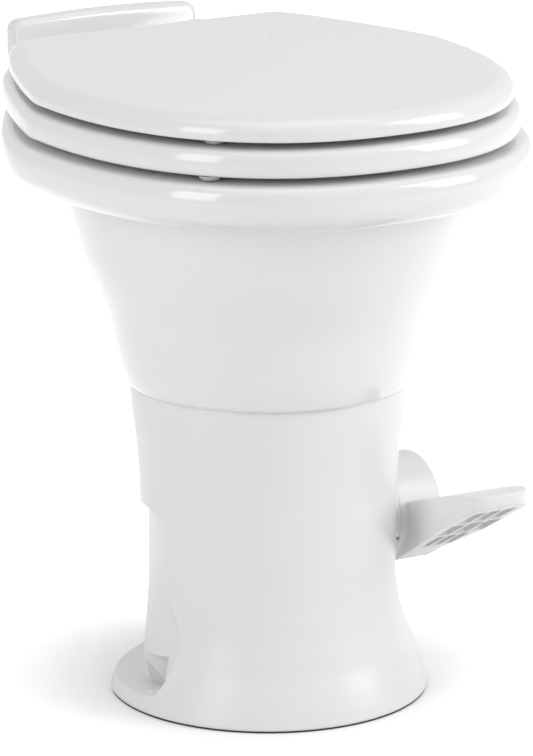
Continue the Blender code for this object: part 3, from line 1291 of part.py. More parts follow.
def build_seat():
    """Seat ring: its outline stands a little proud of the lid, and its inner edge is rounded over."""
    outline = grow_outline(lid_outline(), SEAT_OVERHANG)
    top = SEAT_BOTTOM + SEAT_THICK
    edge = SEAT_EDGE_ROUND
    opening = (SEAT_OPENING_HALF, SEAT_OPENING_FRONT, SEAT_OPENING_REAR)

    def outer(inset, height):
        return at_level(grow_outline(outline, -inset), height)

    def inner(grow, height):
        return at_level(egg_ring(outline, *[reach + grow for reach in opening]), height)

    rings = [
        outer(edge / 3, SEAT_BOTTOM), outer(0, SEAT_BOTTOM + edge / 2), outer(0, top - edge),
        outer(edge * 0.3, top - edge * 0.3),
        outer(edge, top), inner(edge * 1.4, top), inner(edge * 0.4, top - edge * 0.4),
        inner(0, top - edge * 1.4),
        inner(edge / 3, SEAT_BOTTOM),
    ]
    seat = loft("seat", rings, closed=True)
    middle = SEAT_BOTTOM + SEAT_THICK / 2
    for side in (-1, 1):
        near = HINGE_X + POST_HALF_WIDTH + GAP
        low, high = sorted((side * near, side * (near + KNUCKLE_WIDTH)))
        tongue = knuckle("seat_knuckle", low, high, KNUCKLE_ROOT, middle - KNUCKLE_THICK / 2,
                         middle + KNUCKLE_THICK / 2)
        combine(seat, tongue, "UNION")
    holes = [
        rod("bumper_hole", BUMPER_STEM_RADIUS + GAP, SEAT_BOTTOM - OVERRUN, SEAT_BOTTOM + BUMPER_STEM + GAP,
            centre=(x, y, 0), steps=SCREW_STEPS)
        for x, y in seat_bumper_places()
    ]
    return cut_all(seat, holes)


def build_lid():
    """Lid: a solid board with a soft edge and a slightly crowned top."""
    outline = lid_outline()
    edge = LID_EDGE_ROUND
    rings = [
        at_level(grow_outline(outline, -edge / 3), LID_BOTTOM), at_level(outline, LID_BOTTOM + edge / 3),
        at_level(outline, LID_TOP - edge * 0.9),
        at_level(grow_outline(outline, -edge * 0.3), LID_TOP - edge * 0.3),
        at_level(grow_outline(outline, -edge * 1.1), LID_TOP - LID_CROWN),
        at_level(draw_in(outline, edge * 4), LID_TOP),
    ]
    lid = loft("lid", rings)
    for side in (-1, 1):
        near = HINGE_X - POST_HALF_WIDTH - GAP
        low, high = sorted((side * (near - KNUCKLE_WIDTH), side * near))
        tongue = knuckle("lid_knuckle", low, high, KNUCKLE_ROOT, LID_BOTTOM + GAP,
                         LID_BOTTOM + KNUCKLE_THICK)
        combine(lid, tongue, "UNION")
    holes = [
        rod("bumper_hole", BUMPER_STEM_RADIUS + GAP, LID_BOTTOM - OVERRUN, LID_BOTTOM + BUMPER_STEM + GAP,
            centre=(x, y, 0), steps=SCREW_STEPS)
        for x, y in lid_bumper_places()
    ]
    return cut_all(lid, holes)


def seat_bumper_places():
    return [(side * SEAT_BUMPER_X, y) for y in (SEAT_BUMPER_FRONT, SEAT_BUMPER_REAR) for side in (-1, 1)]


def lid_bumper_places():
    return [(side * LID_BUMPER_X, LID_BUMPER_FRONT) for side in (-1, 1)]


def build_bumpers(name, places, board_bottom, rest):
    """Soft domes, pushed into the underside of the board, that rest on what lies below."""
    bottom = rest + GAP
    seat = board_bottom - GAP
    bumpers = [
        turned("bumper", [
            (0, bottom), (BUMPER_RADIUS * BUMPER_FOOT_SHARE, bottom + GAP),
            (BUMPER_RADIUS * BUMPER_BELLY_SHARE, (bottom + seat) / 2),
            (BUMPER_RADIUS, seat), (BUMPER_STEM_RADIUS, seat), (BUMPER_STEM_RADIUS, seat + BUMPER_STEM),
            (0, seat + BUMPER_STEM),
        ], SCREW_STEPS, centre=(x, y, 0))
        for x, y in places
    ]
    return name_set(name, bumpers, ("front_left", "front_right", "rear_left", "rear_right"))


def build_hinge_posts():
    posts = []
    base = RIM_TOP + GAP
    for side in (-1, 1):
        x = side * HINGE_X
        post = block("post", (x - BASE_HALF_WIDTH, BASE_FRONT, base),
                     (x + BASE_HALF_WIDTH, BASE_BACK, base + BASE_THICK))
        pillar = block("pillar", (x - POST_HALF_WIDTH, HINGE_Y - PILLAR_HALF_DEPTH, base + BASE_THICK / 2),
                       (x + POST_HALF_WIDTH, HINGE_Y + PILLAR_HALF_DEPTH, HINGE_Z))
        barrel = rod("barrel", BARREL_RADIUS, x - POST_HALF_WIDTH, x + POST_HALF_WIDTH, X_AXIS,
                     (0, HINGE_Y, HINGE_Z))
        join_all(post, [pillar, barrel])
        cut_all(post, [
            rod("pin_bore", PIN_RADIUS + SLIP, x - 2 * POST_HALF_WIDTH, x + 2 * POST_HALF_WIDTH, X_AXIS,
                (0, HINGE_Y, HINGE_Z), steps=SCREW_STEPS),
            rod("bolt_bore", HINGE_BOLT_HOLE, RIM_TOP - OVERRUN, base + BASE_THICK + OVERRUN,
                centre=(x, HINGE_BOLT_Y, 0), steps=SCREW_STEPS),
        ])
        posts.append(post)
    return name_set("hinge_post", posts)


def build_hinge_hardware():
    pins, bolts, washers, nuts = [], [], [], []
    reach = POST_HALF_WIDTH + GAP + KNUCKLE_WIDTH + GAP
    under = RIM_TOP - DECK_WALL - GAP
    for side in (-1, 1):
        x = side * HINGE_X
        pins.append(headed_screw("pin", PIN_HEAD_RADIUS, PIN_HEAD, PIN_RADIUS, 2 * reach, side * X_AXIS,
                                 (x + side * reach, HINGE_Y, HINGE_Z)))
        head_seat = RIM_TOP + 2 * GAP + BASE_THICK
        length = head_seat - under + HINGE_BOLT_REACH
        bolts.append(headed_screw("bolt", HINGE_BOLT_HEAD_RADIUS, HINGE_BOLT_HEAD, HINGE_BOLT_RADIUS,
                                  length, Z_AXIS,
                                  (x, HINGE_BOLT_Y, head_seat)))
        washers.append(tube("washer", HINGE_WASHER_RADIUS, HINGE_BOLT_RADIUS + GAP,
                            under - HINGE_WASHER_THICK, under,
                            centre=(x, HINGE_BOLT_Y, 0)))
        nut_top = under - HINGE_WASHER_THICK - GAP
        nut = rod("nut", WING_RADIUS, nut_top - WING_HEIGHT, nut_top, centre=(x, HINGE_BOLT_Y, 0),
                  steps=SMALL_STEPS)
        wings = block("wings", (x - WING_SPAN, HINGE_BOLT_Y - WING_THICK / 2,
                                nut_top - WING_HEIGHT * WING_LOW_SHARE),
                      (x + WING_SPAN, HINGE_BOLT_Y + WING_THICK / 2,
                       nut_top - WING_HEIGHT * WING_HIGH_SHARE))
        combine(nut, wings, "UNION")
        bore = rod("bore", HINGE_BOLT_RADIUS + GAP, nut_top - 2 * WING_HEIGHT, nut_top + OVERRUN,
                   centre=(x, HINGE_BOLT_Y, 0), steps=SCREW_STEPS)
        nuts.append(combine(nut, bore, "DIFFERENCE"))
    return (name_set("hinge_pin", pins), name_set("hinge_bolt", bolts),
            name_set("hinge_washer", washers), name_set("hinge_wing_nut", nuts))


def add_empty(name, place, parent=None):
    empty = bpy.data.objects.new(name, None)
    empty.location = place
    empty.parent = parent
    bpy.context.scene.collection.objects.link(empty)
    return empty


def dress(items, finish, parent, anchor=(0, 0, 0)):
    """Give pieces their finish and hang them on their empty, which stands at the anchor."""
    for item in items:
        item.data.materials.clear()
        item.data.materials.append(finish)
        if item.type == "MESH":
            item.data.shade_smooth()
            item.data.set_sharp_from_angle(angle=SHARP_ANGLE)
        item.parent = parent
        item.matrix_parent_inverse = Matrix.Translation([-value for value in anchor])


def main():
    clear_scene()
    glaze = finish_material("glazed white ceramic", (0.86, 0.87, 0.86), 0.08)
    shell = finish_material("glossy white moulding", (0.84, 0.85, 0.86), 0.22)
    board = finish_material("white enamel", (0.86, 0.86, 0.85), 0.12)
    inner = finish_material("grey moulding", (0.30, 0.31, 0.33), 0.45)
    black = finish_material("black rubber", (0.03, 0.03, 0.03), 0.75)
    clear = finish_material("clear soft bumper", (0.80, 0.82, 0.80), 0.35)
    steel = finish_material("stainless steel", (0.62, 0.63, 0.64), 0.28, 1.0)
    brass = finish_material("brass", (0.72, 0.55, 0.25), 0.30, 1.0)

    frame = add_empty("toilet_frame", (0, FRAME_SHIFT, 0))
    flush_axis = (0, 0, AXIS_Z)
    hinge_axis = (0, HINGE_Y, HINGE_Z)
    pedal_axis = add_empty("pedal_axis", flush_axis, frame)
    plunger_axis = add_empty("plunger_axis", (CAM_X, 0, AXIS_Z), frame)
    lid_axis = add_empty("lid_axis", hinge_axis, frame)
    seat_axis = add_empty("seat_axis", hinge_axis, frame)

    flange_seal, bowl_seal, ball_seal, shaft_seals = build_seals()
    closet_bolts, closet_nuts = build_floor_bolts()
    clamp_screws, clamp_nuts = build_clamp_hardware()
    housing, housing_screws = build_housing()
    pivot_pin, drive_shaft = build_shafts()
    valve, plunger, valve_screws, fitting = build_valve()
    breaker, breaker_cap, bowl_inlet = build_breaker()
    hose, hose_clamps = build_hose()
    hinge_pins, hinge_bolts, hinge_washers, wing_nuts = build_hinge_hardware()
    seat_bumpers = build_bumpers("seat_bumper", seat_bumper_places(), SEAT_BOTTOM, RIM_TOP)
    lid_bumpers = build_bumpers("lid_bumper", lid_bumper_places(), LID_BOTTOM, SEAT_BOTTOM + SEAT_THICK)
    clamps = [build_clamp_half("clamp_front", -1), build_clamp_half("clamp_rear", 1)]

    dress([build_bowl()], glaze, frame)
    dress([build_pedestal(), housing, breaker, breaker_cap, bowl_inlet, valve] + build_hinge_posts(), shell,
          frame)
    dress([build_valve_body()] + build_bushes() + clamps + wing_nuts, inner, frame)
    dress([flange_seal, bowl_seal, ball_seal, hose] + shaft_seals, black, frame)
    dress(closet_bolts + closet_nuts + clamp_screws + clamp_nuts + housing_screws + valve_screws, steel,
          frame)
    dress([build_spring()] + hose_clamps + hinge_pins + hinge_bolts + hinge_washers, steel, frame)
    dress([fitting], brass, frame)
    dress([build_pedal()], shell, pedal_axis, flush_axis)
    dress([build_ball(), build_cam()], inner, pedal_axis, flush_axis)
    dress([drive_shaft, pivot_pin, build_pedal_screw()], steel, pedal_axis, flush_axis)
    dress([plunger], inner, plunger_axis, (CAM_X, 0, AXIS_Z))
    dress([build_seat()], board, seat_axis, hinge_axis)
    dress(seat_bumpers, clear, seat_axis, hinge_axis)
    dress([build_lid()], board, lid_axis, hinge_axis)
    dress(lid_bumpers, clear, lid_axis, hinge_axis)


main()
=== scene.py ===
"""Dressed model of a foot-flushed toilet for a motor home, in metres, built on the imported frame."""

import math

import bmesh
import bpy
from mathutils import Matrix, Vector


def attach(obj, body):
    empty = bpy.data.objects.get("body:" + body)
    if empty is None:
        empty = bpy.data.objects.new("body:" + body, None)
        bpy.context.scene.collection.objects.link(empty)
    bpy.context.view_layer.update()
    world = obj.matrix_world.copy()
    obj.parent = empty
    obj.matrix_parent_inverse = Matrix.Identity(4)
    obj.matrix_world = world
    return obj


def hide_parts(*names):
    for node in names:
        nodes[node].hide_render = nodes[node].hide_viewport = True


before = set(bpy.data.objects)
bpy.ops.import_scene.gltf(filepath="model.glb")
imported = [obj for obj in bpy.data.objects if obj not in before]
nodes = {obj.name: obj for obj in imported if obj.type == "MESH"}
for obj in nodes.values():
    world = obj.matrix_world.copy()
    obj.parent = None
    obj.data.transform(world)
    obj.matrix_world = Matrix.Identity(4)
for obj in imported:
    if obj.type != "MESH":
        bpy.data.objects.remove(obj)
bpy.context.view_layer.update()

# The photographer's corner: a white floor that runs out of sight, and soft boxes round the toilet.
# The camera stands far off to the front left, a little over the lid, as in the photograph.
COLUMN_Y = -0.03455
CAMERA_SPOT = Vector((-1.8373, -3.2026, 1.2502))
CAMERA_AIM = Vector((-0.0012, -0.0339, 0.2419))
CAMERA_LENS = 239.0
FLOOR_HALF = 6.0
FLOOR_COLOUR = (0.86, 0.86, 0.86, 1.0)
# Floor glow near the column and far off, and the distances over which it rises: this paints a soft contact shadow round
# the foot.
SHADOWED_FLOOR_GLOW, FAR_GLOW, SHADOW_FADE_START, SHADOW_FADE_END = 0.14, 1.0, 0.11, 0.36
AMBIENT, GLOSS_SHARE = 0.53, 0.72

camera_data = bpy.data.cameras.new("studio camera")
camera_data.lens = CAMERA_LENS
camera_data.sensor_width = 36.0
camera_data.clip_end = 40.0
camera = bpy.data.objects.new("studio camera", camera_data)
camera.location = CAMERA_SPOT
camera.rotation_euler = (CAMERA_AIM - CAMERA_SPOT).to_track_quat("-Z", "Y").to_euler()
bpy.context.scene.collection.objects.link(camera)
bpy.context.scene.camera = camera
bpy.context.scene.view_settings.view_transform = "Standard"


def seen_rays(tree):
    """Socket that is 1 for rays that show the background straight or through glass, and less in a gloss."""
    path = tree.nodes.new("ShaderNodeLightPath")
    glossy = tree.nodes.new("ShaderNodeMath")
    glossy.operation = "MULTIPLY"
    glossy.inputs[1].default_value = GLOSS_SHARE
    first = tree.nodes.new("ShaderNodeMath")
    first.operation = "MAXIMUM"
    both = tree.nodes.new("ShaderNodeMath")
    both.operation = "MAXIMUM"
    tree.links.new(path.outputs["Is Glossy Ray"], glossy.inputs[0])
    tree.links.new(path.outputs["Is Camera Ray"], first.inputs[0])
    tree.links.new(glossy.outputs[0], first.inputs[1])
    tree.links.new(first.outputs[0], both.inputs[0])
    tree.links.new(path.outputs["Is Transmission Ray"], both.inputs[1])
    return both.outputs[0]


world = bpy.data.worlds.new("white studio")
world.use_nodes = True
bpy.context.scene.world = world
sky = world.node_tree
backdrop_light = sky.nodes["Background"]
shown = sky.nodes.new("ShaderNodeMapRange")
shown.inputs["To Min"].default_value = AMBIENT
shown.inputs["To Max"].default_value = 1.0
sky.links.new(seen_rays(sky), shown.inputs["Value"])
sky.links.new(shown.outputs[0], backdrop_light.inputs["Strength"])
backdrop_light.inputs["Color"].default_value = (1.0, 1.0, 1.0, 1.0)

floor_paint = bpy.data.materials.new("white studio floor")
floor_paint.use_nodes = True
paint = floor_paint.node_tree
paint.nodes.remove(paint.nodes["Principled BSDF"])
matt = paint.nodes.new("ShaderNodeBsdfDiffuse")
matt.inputs["Color"].default_value = FLOOR_COLOUR
glow = paint.nodes.new("ShaderNodeEmission")
lit = paint.nodes.new("ShaderNodeMath")
lit.operation = "MULTIPLY"
# Painted shadow: the floor's glow grows with distance from the column, which paints a soft contact shadow round the
# foot.
floor_place = paint.nodes.new("ShaderNodeTexCoord")
floor_reach = paint.nodes.new("ShaderNodeVectorMath")
floor_reach.operation = "DISTANCE"
floor_reach.inputs[1].default_value = (0, COLUMN_Y, 0)
painted_floor_shadow = paint.nodes.new("ShaderNodeMapRange")
for label, value in (("From Min", SHADOW_FADE_START), ("From Max", SHADOW_FADE_END), ("To Min", SHADOWED_FLOOR_GLOW), ("To Max", FAR_GLOW)):
    painted_floor_shadow.inputs[label].default_value = value
paint.links.new(floor_place.outputs["Object"], floor_reach.inputs[0])
paint.links.new(floor_reach.outputs["Value"], painted_floor_shadow.inputs["Value"])
paint.links.new(painted_floor_shadow.outputs["Result"], lit.inputs[1])
both_shades = paint.nodes.new("ShaderNodeAddShader")
paint.links.new(seen_rays(paint), lit.inputs[0])
paint.links.new(lit.outputs[0], glow.inputs["Strength"])
paint.links.new(matt.outputs[0], both_shades.inputs[0])
paint.links.new(glow.outputs[0], both_shades.inputs[1])
paint.links.new(both_shades.outputs[0], paint.nodes["Material Output"].inputs["Surface"])

floor_shape = bmesh.new()
bmesh.ops.create_grid(floor_shape, x_segments=4, y_segments=4, size=FLOOR_HALF)
floor_mesh = bpy.data.meshes.new("studio_floor")
floor_shape.to_mesh(floor_mesh)
floor_shape.free()
floor_mesh.materials.append(floor_paint)
floor = bpy.data.objects.new("studio_floor", floor_mesh)
bpy.context.scene.collection.objects.link(floor)

SOFT_BOXES = (
    ("overhead box", 10, 86, 1.75, 1.5, 1.3, 4.3, (1.0, 0.995, 0.985)),
    ("left box", -69, 20, 1.75, 0.62, 1.30, 7.6, (1.0, 0.99, 0.975)),
    ("right box", 47, 24, 1.85, 0.80, 1.30, 15.0, (0.975, 0.99, 1.0)),
)
for label, turn, rise, reach, wide, tall, power, tone in SOFT_BOXES:
    box_data = bpy.data.lights.new(label, "AREA")
    box_data.shape = "RECTANGLE"
    box_data.size, box_data.size_y = wide, tall
    box_data.energy = power
    box_data.color = tone
    across, up = math.radians(turn), math.radians(rise)
    away = Vector((math.sin(across) * math.cos(up), -math.cos(across) * math.cos(up), math.sin(up)))
    soft_box = bpy.data.objects.new(label, box_data)
    soft_box.location = Vector((0, COLUMN_Y, 0.30)) + away * reach
    soft_box.rotation_euler = (-away).to_track_quat("-Z", "Y").to_euler()
    bpy.context.scene.collection.objects.link(soft_box)


# The bowl: one hollow casting of vitreous china under a thick white glaze. It was poured in a plaster
# mould, so every edge is soft, and it ends below in a flanged spigot that the clamp holds on the valve.
RIM_TOP = 0.436
RIM_DEPTH = 0.0375
SEAM_HEIGHT = 0.2445
SPIGOT_BOTTOM = 0.21078
LID_HALF_WIDTH, LID_FRONT, LID_WIDEST, LID_NOSE = 0.1789, -0.1884, 0.0314, 2.3
DECK_BACK = 0.271
PORCELAIN = (0.815, 0.822, 0.815, 1.0)
PORCELAIN_THICK_GLAZE = (0.804, 0.813, 0.807, 1.0)


def build_made_surface():
    """Node group for what sets a made surface apart from a flat colour: patches, wandering gloss, waves, grain."""
    group = bpy.data.node_groups.new("made surface", "ShaderNodeTree")
    for label, kind in (
        ("Colour", "NodeSocketColor"), ("Second Colour", "NodeSocketColor"), ("Patch Scale", "NodeSocketFloat"),
        ("Gloss", "NodeSocketFloat"), ("Gloss Spread", "NodeSocketFloat"), ("Wave Scale", "NodeSocketFloat"),
        ("Wave Height", "NodeSocketFloat"), ("Grain Scale", "NodeSocketFloat"), ("Grain Height", "NodeSocketFloat"),
    ):
        group.interface.new_socket(label, in_out="INPUT", socket_type=kind)
    for label, kind in (
        ("Colour", "NodeSocketColor"), ("Roughness", "NodeSocketFloat"), ("Normal", "NodeSocketVector"),
    ):
        group.interface.new_socket(label, in_out="OUTPUT", socket_type=kind)
    enter = group.nodes.new("NodeGroupInput")
    leave = group.nodes.new("NodeGroupOutput")
    place = group.nodes.new("ShaderNodeTexCoord").outputs["Object"]

    def noise(scale, detail):
        made = group.nodes.new("ShaderNodeTexNoise")
        made.inputs["Detail"].default_value = detail
        group.links.new(place, made.inputs["Vector"])
        group.links.new(scale, made.inputs["Scale"])
        return made.outputs["Fac"]

    def ranged(value, low, high, to_low, to_high):
        made = group.nodes.new("ShaderNodeMapRange")
        made.inputs["From Min"].default_value = low
        made.inputs["From Max"].default_value = high
        for name, target in (("To Min", to_low), ("To Max", to_high)):
            if isinstance(target, float):
                made.inputs[name].default_value = target
            else:
                group.links.new(target, made.inputs[name])
        group.links.new(value, made.inputs["Value"])
        return made.outputs["Result"]

    patches = ranged(noise(enter.outputs["Patch Scale"], 1.0), 0.25, 0.75, 0.0, 1.0)
    blend = group.nodes.new("ShaderNodeMix")
    blend.data_type = "RGBA"
    group.links.new(patches, blend.inputs[0])
    group.links.new(enter.outputs["Colour"], blend.inputs[6])
    group.links.new(enter.outputs["Second Colour"], blend.inputs[7])
    group.links.new(blend.outputs[2], leave.inputs["Colour"])

    rougher = group.nodes.new("ShaderNodeMath")
    group.links.new(enter.outputs["Gloss"], rougher.inputs[0])
    group.links.new(enter.outputs["Gloss Spread"], rougher.inputs[1])
    gloss = ranged(noise(enter.outputs["Wave Scale"], 1.0), 0.2, 0.8, enter.outputs["Gloss"], rougher.outputs[0])
    group.links.new(gloss, leave.inputs["Roughness"])

    normal = None
    for scale, height, detail in (("Wave Scale", "Wave Height", 1.0), ("Grain Scale", "Grain Height", 2.0)):
        bump = group.nodes.new("ShaderNodeBump")
        bump.inputs["Strength"].default_value = 1.0
        group.links.new(enter.outputs[height], bump.inputs["Distance"])
        group.links.new(noise(enter.outputs[scale], detail), bump.inputs["Height"])
        if normal:
            group.links.new(normal, bump.inputs["Normal"])
        normal = bump.outputs["Normal"]
    group.links.new(normal, leave.inputs["Normal"])
    return group


made_surface = build_made_surface()


def make_finish(name, colours, patch, gloss, wave, grain, **shader_values):
    """A finish: two near colours in patches, (gloss, spread), and (scale, height) of its waves and its grain."""
    made = bpy.data.materials.new(name)
    made.use_nodes = True
    tree = made.node_tree
    shader = tree.nodes["Principled BSDF"]
    skin = tree.nodes.new("ShaderNodeGroup")
    skin.node_tree = made_surface
    values = (*colours, patch, *gloss, *wave, *grain)
    for socket, value in zip(skin.inputs, values):
        socket.default_value = value
    for given, taken in (("Colour", "Base Color"), ("Roughness", "Roughness"), ("Normal", "Normal")):
        tree.links.new(skin.outputs[given], shader.inputs[taken])
    for label, value in shader_values.items():
        shader.inputs[label.replace("_", " ")].default_value = value
    return made


def smooth_row(points, steps):
    """Points on a smooth curve through the given ones, with the given number of steps between two."""
    row = []
    last = len(points) - 1
    for i in range(last):
        before, start, end, after = points[max(i - 1, 0)], points[i], points[i + 1], points[min(i + 2, last)]
        for j in range(steps):
            t = j / steps
            row.append(tuple(
                0.5 * (2 * b + (c - a) * t + (2 * a - 5 * b + 4 * c - d) * t ** 2 + (3 * b - a - 3 * c + d) * t ** 3)
                for a, b, c, d in zip(before, start, end, after)
            ))
    row.append(tuple(points[-1]))
    return row


def bezier(corners, share):
    rest = 1 - share
    weights = (rest ** 3, 3 * share * rest ** 2, 3 * share ** 2 * rest, share ** 3)
    return tuple(sum(w * c[i] for w, c in zip(weights, corners)) for i in (0, 1))


def plan_outline(half, front, back_half, back, shoulder, pull, lean, corner):
    """Outline from above: an egg-shaped nose, sides that draw in towards a straight back."""
    nose_steps, flare_steps, corner_steps, back_steps = 40, 22, 8, 6
    right = []
    for i in range(nose_steps):
        angle = math.pi / 2 * (1 - i / nose_steps)
        across = half * max(math.cos(angle), 0) ** (2 / LID_NOSE)
        right.append((across, LID_WIDEST - (LID_WIDEST - front) * math.sin(angle) ** (2 / LID_NOSE)))
    outward = (math.sin(lean), -math.cos(lean))
    knee = (back_half + corner * outward[0], back + corner * outward[1])
    hip = (knee[0] + pull * outward[0], knee[1] + pull * outward[1])
    for i in range(flare_steps):
        right.append(bezier(((half, LID_WIDEST), (half, LID_WIDEST + shoulder), hip, knee), i / flare_steps))
    tail = (back_half - corner, back)
    for i in range(corner_steps):
        right.append(bezier((knee, (back_half, back), (back_half, back), tail), i / corner_steps))
    for i in range(back_steps):
        right.append((tail[0] * (1 - i / back_steps), back))
    return right + [(0.0, back)] + [(-x, y) for x, y in reversed(right[1:])]


def draw_in(points, margin):
    """Move each point straight towards the column's axis."""
    return [(x * (1 - margin / math.hypot(x, y)), y * (1 - margin / math.hypot(x, y))) for x, y in points]


def egg_ring(guide, half, front, rear):
    """Ring of an egg with three reaches, at the angles of the guide's points."""
    ring = []
    for x, y in guide:
        length = math.hypot(x, y)
        across, along = x / length, y / length
        radius = 1 / math.hypot(across / half, along / (rear if along > 0 else front))
        ring.append((across * radius, along * radius))
    return ring


def ring_skin(rings, closed=False):
    """Start from one circle and extrude it from ring to ring; each ring is a list of points in space."""
    shape = bmesh.new()
    place = shape.verts.layers.int.new("place")
    start = bmesh.ops.create_circle(shape, segments=len(rings[0]), radius=1.0)["verts"]
    for i, spot in enumerate(start):
        spot[place] = i
    edges = list(shape.edges)
    verts = start
    for i, ring in enumerate(rings):
        if i:
            grown = bmesh.ops.extrude_edge_only(shape, edges=edges)["geom"]
            verts = [item for item in grown if isinstance(item, bmesh.types.BMVert)]
            fresh = set(verts)
            edges = [item for item in grown if isinstance(item, bmesh.types.BMEdge) and fresh.issuperset(item.verts)]
        for spot in verts:
            spot.co = ring[spot[place]]
    if closed:
        bmesh.ops.remove_doubles(shape, verts=shape.verts, dist=0.000001)
    else:
        bmesh.ops.holes_fill(shape, edges=[edge for edge in shape.edges if edge.is_boundary])
    bmesh.ops.recalc_face_normals(shape, faces=shape.faces)
    return shape


def ring_shell(rings, closed=False):
    """Skin of level rings, each given round the column's axis with its height."""
    return ring_skin([[(x, y + COLUMN_Y, height) for x, y in ring] for ring, height in rings], closed)


def as_object(name, shape):
    mesh = bpy.data.meshes.new(name)
    shape.to_mesh(mesh)
    shape.free()
    made = bpy.data.objects.new(name, mesh)
    bpy.context.scene.collection.objects.link(made)
    return made


def keep_result(item):
    """Put the result of an object's modifiers into its own mesh."""
    graph = bpy.context.evaluated_depsgraph_get()
    result = bpy.data.meshes.new_from_object(item.evaluated_get(graph))
    item.modifiers.clear()
    item.data = result
    return item


def carve(item, *tools, way="DIFFERENCE"):
    """Cut tools out of a piece, or join them to it, and drop the tools."""
    for tool in tools:
        change = item.modifiers.new("carved", "BOOLEAN")
        change.operation = way
        change.solver = "EXACT"
        change.object = tool
        keep_result(item)
        bpy.data.objects.remove(tool, do_unlink=True)
    return item


def spun(name, profile, axis, centre, steps=64, twist=0.0):
    """Spin (radius, reach) points round an axis through the centre, which is given round the column."""
    shape = bmesh.new()
    spots = [shape.verts.new((radius, 0, reach)) for radius, reach in profile]
    edges = [shape.edges.new(pair) for pair in zip(spots, spots[1:])]
    if profile[0][0] > 0 or profile[-1][0] > 0:
        edges.append(shape.edges.new((spots[-1], spots[0])))
    bmesh.ops.spin(
        shape, geom=spots + edges, cent=(0, 0, 0), axis=(0, 0, 1), angle=2 * math.pi, steps=steps, use_merge=True,
    )
    bmesh.ops.remove_doubles(shape, verts=shape.verts, dist=0.000005)
    bmesh.ops.recalc_face_normals(shape, faces=shape.faces)
    turn = Vector((0, 0, 1)).rotation_difference(Vector(axis)).to_matrix().to_4x4()
    spot = Vector(centre) + Vector((0, COLUMN_Y, 0))
    own_turn = Matrix.Rotation(twist, 4, "Z")
    bmesh.ops.transform(shape, matrix=Matrix.Translation(spot) @ turn @ own_turn, verts=shape.verts)
    return as_object(name, shape)


def extruded(name, outline, place, low, high):
    """Extrude a flat outline between two levels; place turns (u, v, level) into a point round the column."""
    shape = bmesh.new()
    base = shape.faces.new([shape.verts.new(place(u, v, low)) for u, v in outline])
    grown = bmesh.ops.extrude_face_region(shape, geom=[base])["geom"]
    lift = Vector(place(0, 0, high)) - Vector(place(0, 0, low))
    bmesh.ops.translate(shape, vec=lift, verts=[item for item in grown if isinstance(item, bmesh.types.BMVert)])
    bmesh.ops.translate(shape, vec=(0, COLUMN_Y, 0), verts=shape.verts)
    bmesh.ops.recalc_face_normals(shape, faces=shape.faces)
    return as_object(name, shape)


def settle(item, finish, slot_name, body, *cad_nodes, sharp=34):
    """Give a finished piece its material and its body, and hide the CAD nodes that it stands for."""
    item.data.materials.clear()
    item.data.materials.append(finish)
    item.data.shade_smooth()
    item.data.set_sharp_from_angle(angle=math.radians(sharp))
    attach(item, body)
    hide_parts(*cad_nodes)
    return item


porcelain = make_finish(
    "glazed white porcelain", (PORCELAIN, PORCELAIN_THICK_GLAZE), 9.0, (0.10, 0.05), (22.0, 0.0004), (700.0, 0.000006),
    Coat_Weight=0.6, Coat_Roughness=0.05, IOR=1.5,
)
deck = plan_outline(
    LID_HALF_WIDTH + 0.0135, LID_FRONT - 0.0135, 0.080, DECK_BACK, 0.065, 0.0665, 0.43, 0.020,
)
bowl_levels = []
SEAM_RADIUS, BODY_TOP_RADIUS = 0.1088, 0.1503
BODY_SHARES = (1.034, 1.083, 1.051)
for height, inset in ((0.0, 0.0016), (0.0005, 0.0005), (0.0014, 0.0)):
    radius = SEAM_RADIUS - inset
    bowl_levels.append((egg_ring(deck, radius, radius, radius), SEAM_HEIGHT + height))
body_rise = RIM_TOP - RIM_DEPTH - 0.0003 - SEAM_HEIGHT
body_line = smooth_row(
    ((0.012, 0.012), (0.09, 0.10), (0.21, 0.20), (0.36, 0.32), (0.50, 0.50), (0.64, 0.69), (0.80, 0.84), (0.985, 0.985)), 5,
)
for rise_share, spread_share in body_line:
    radius = SEAM_RADIUS + spread_share * (BODY_TOP_RADIUS - SEAM_RADIUS)
    reaches = [radius * (1 + (share - 1) * rise_share) for share in BODY_SHARES]
    bowl_levels.append((egg_ring(deck, *reaches), SEAM_HEIGHT + body_rise * rise_share))
RIM_TUCK = 0.0205
rim_line = smooth_row(
    ((1.16, -0.01), (1.0, 0.02), (0.78, 0.055), (0.56, 0.12), (0.29, 0.25), (0.13, 0.37), (0.05, 0.50), (0.0, 0.68),
     (0.05, 0.86), (0.23, 0.97), (0.50, 1.0)), 5,
)
for tuck_share, height_share in rim_line:
    bowl_levels.append((draw_in(deck, RIM_TUCK * tuck_share), RIM_TOP - RIM_DEPTH + RIM_DEPTH * height_share))
MOUTH = (0.134, 0.146, 0.148)
THROAT_RADIUS = 0.027
MOUTH_ROUND = 0.007
for step in range(7):
    angle = math.pi / 2 * step / 6
    grow = MOUTH_ROUND * (1 - math.sin(angle))
    drop = MOUTH_ROUND * (1 - math.cos(angle))
    bowl_levels.append((egg_ring(deck, *[reach + grow for reach in MOUTH]), RIM_TOP - drop))
inside_line = smooth_row(
    ((1.0, 1.0), (0.94, 0.995), (0.76, 0.96), (0.60, 0.87), (0.47, 0.74), (0.36, 0.57), (0.25, 0.37), (0.155, 0.19),
     (0.085, 0.08), (0.0, 0.0)), 5,
)
for height_share, spread_share in inside_line[1:]:
    reaches = [THROAT_RADIUS + spread_share * (reach - THROAT_RADIUS) for reach in MOUTH]
    bowl_levels.append((egg_ring(deck, *reaches), SPIGOT_BOTTOM + (RIM_TOP - MOUTH_ROUND - SPIGOT_BOTTOM) * height_share))
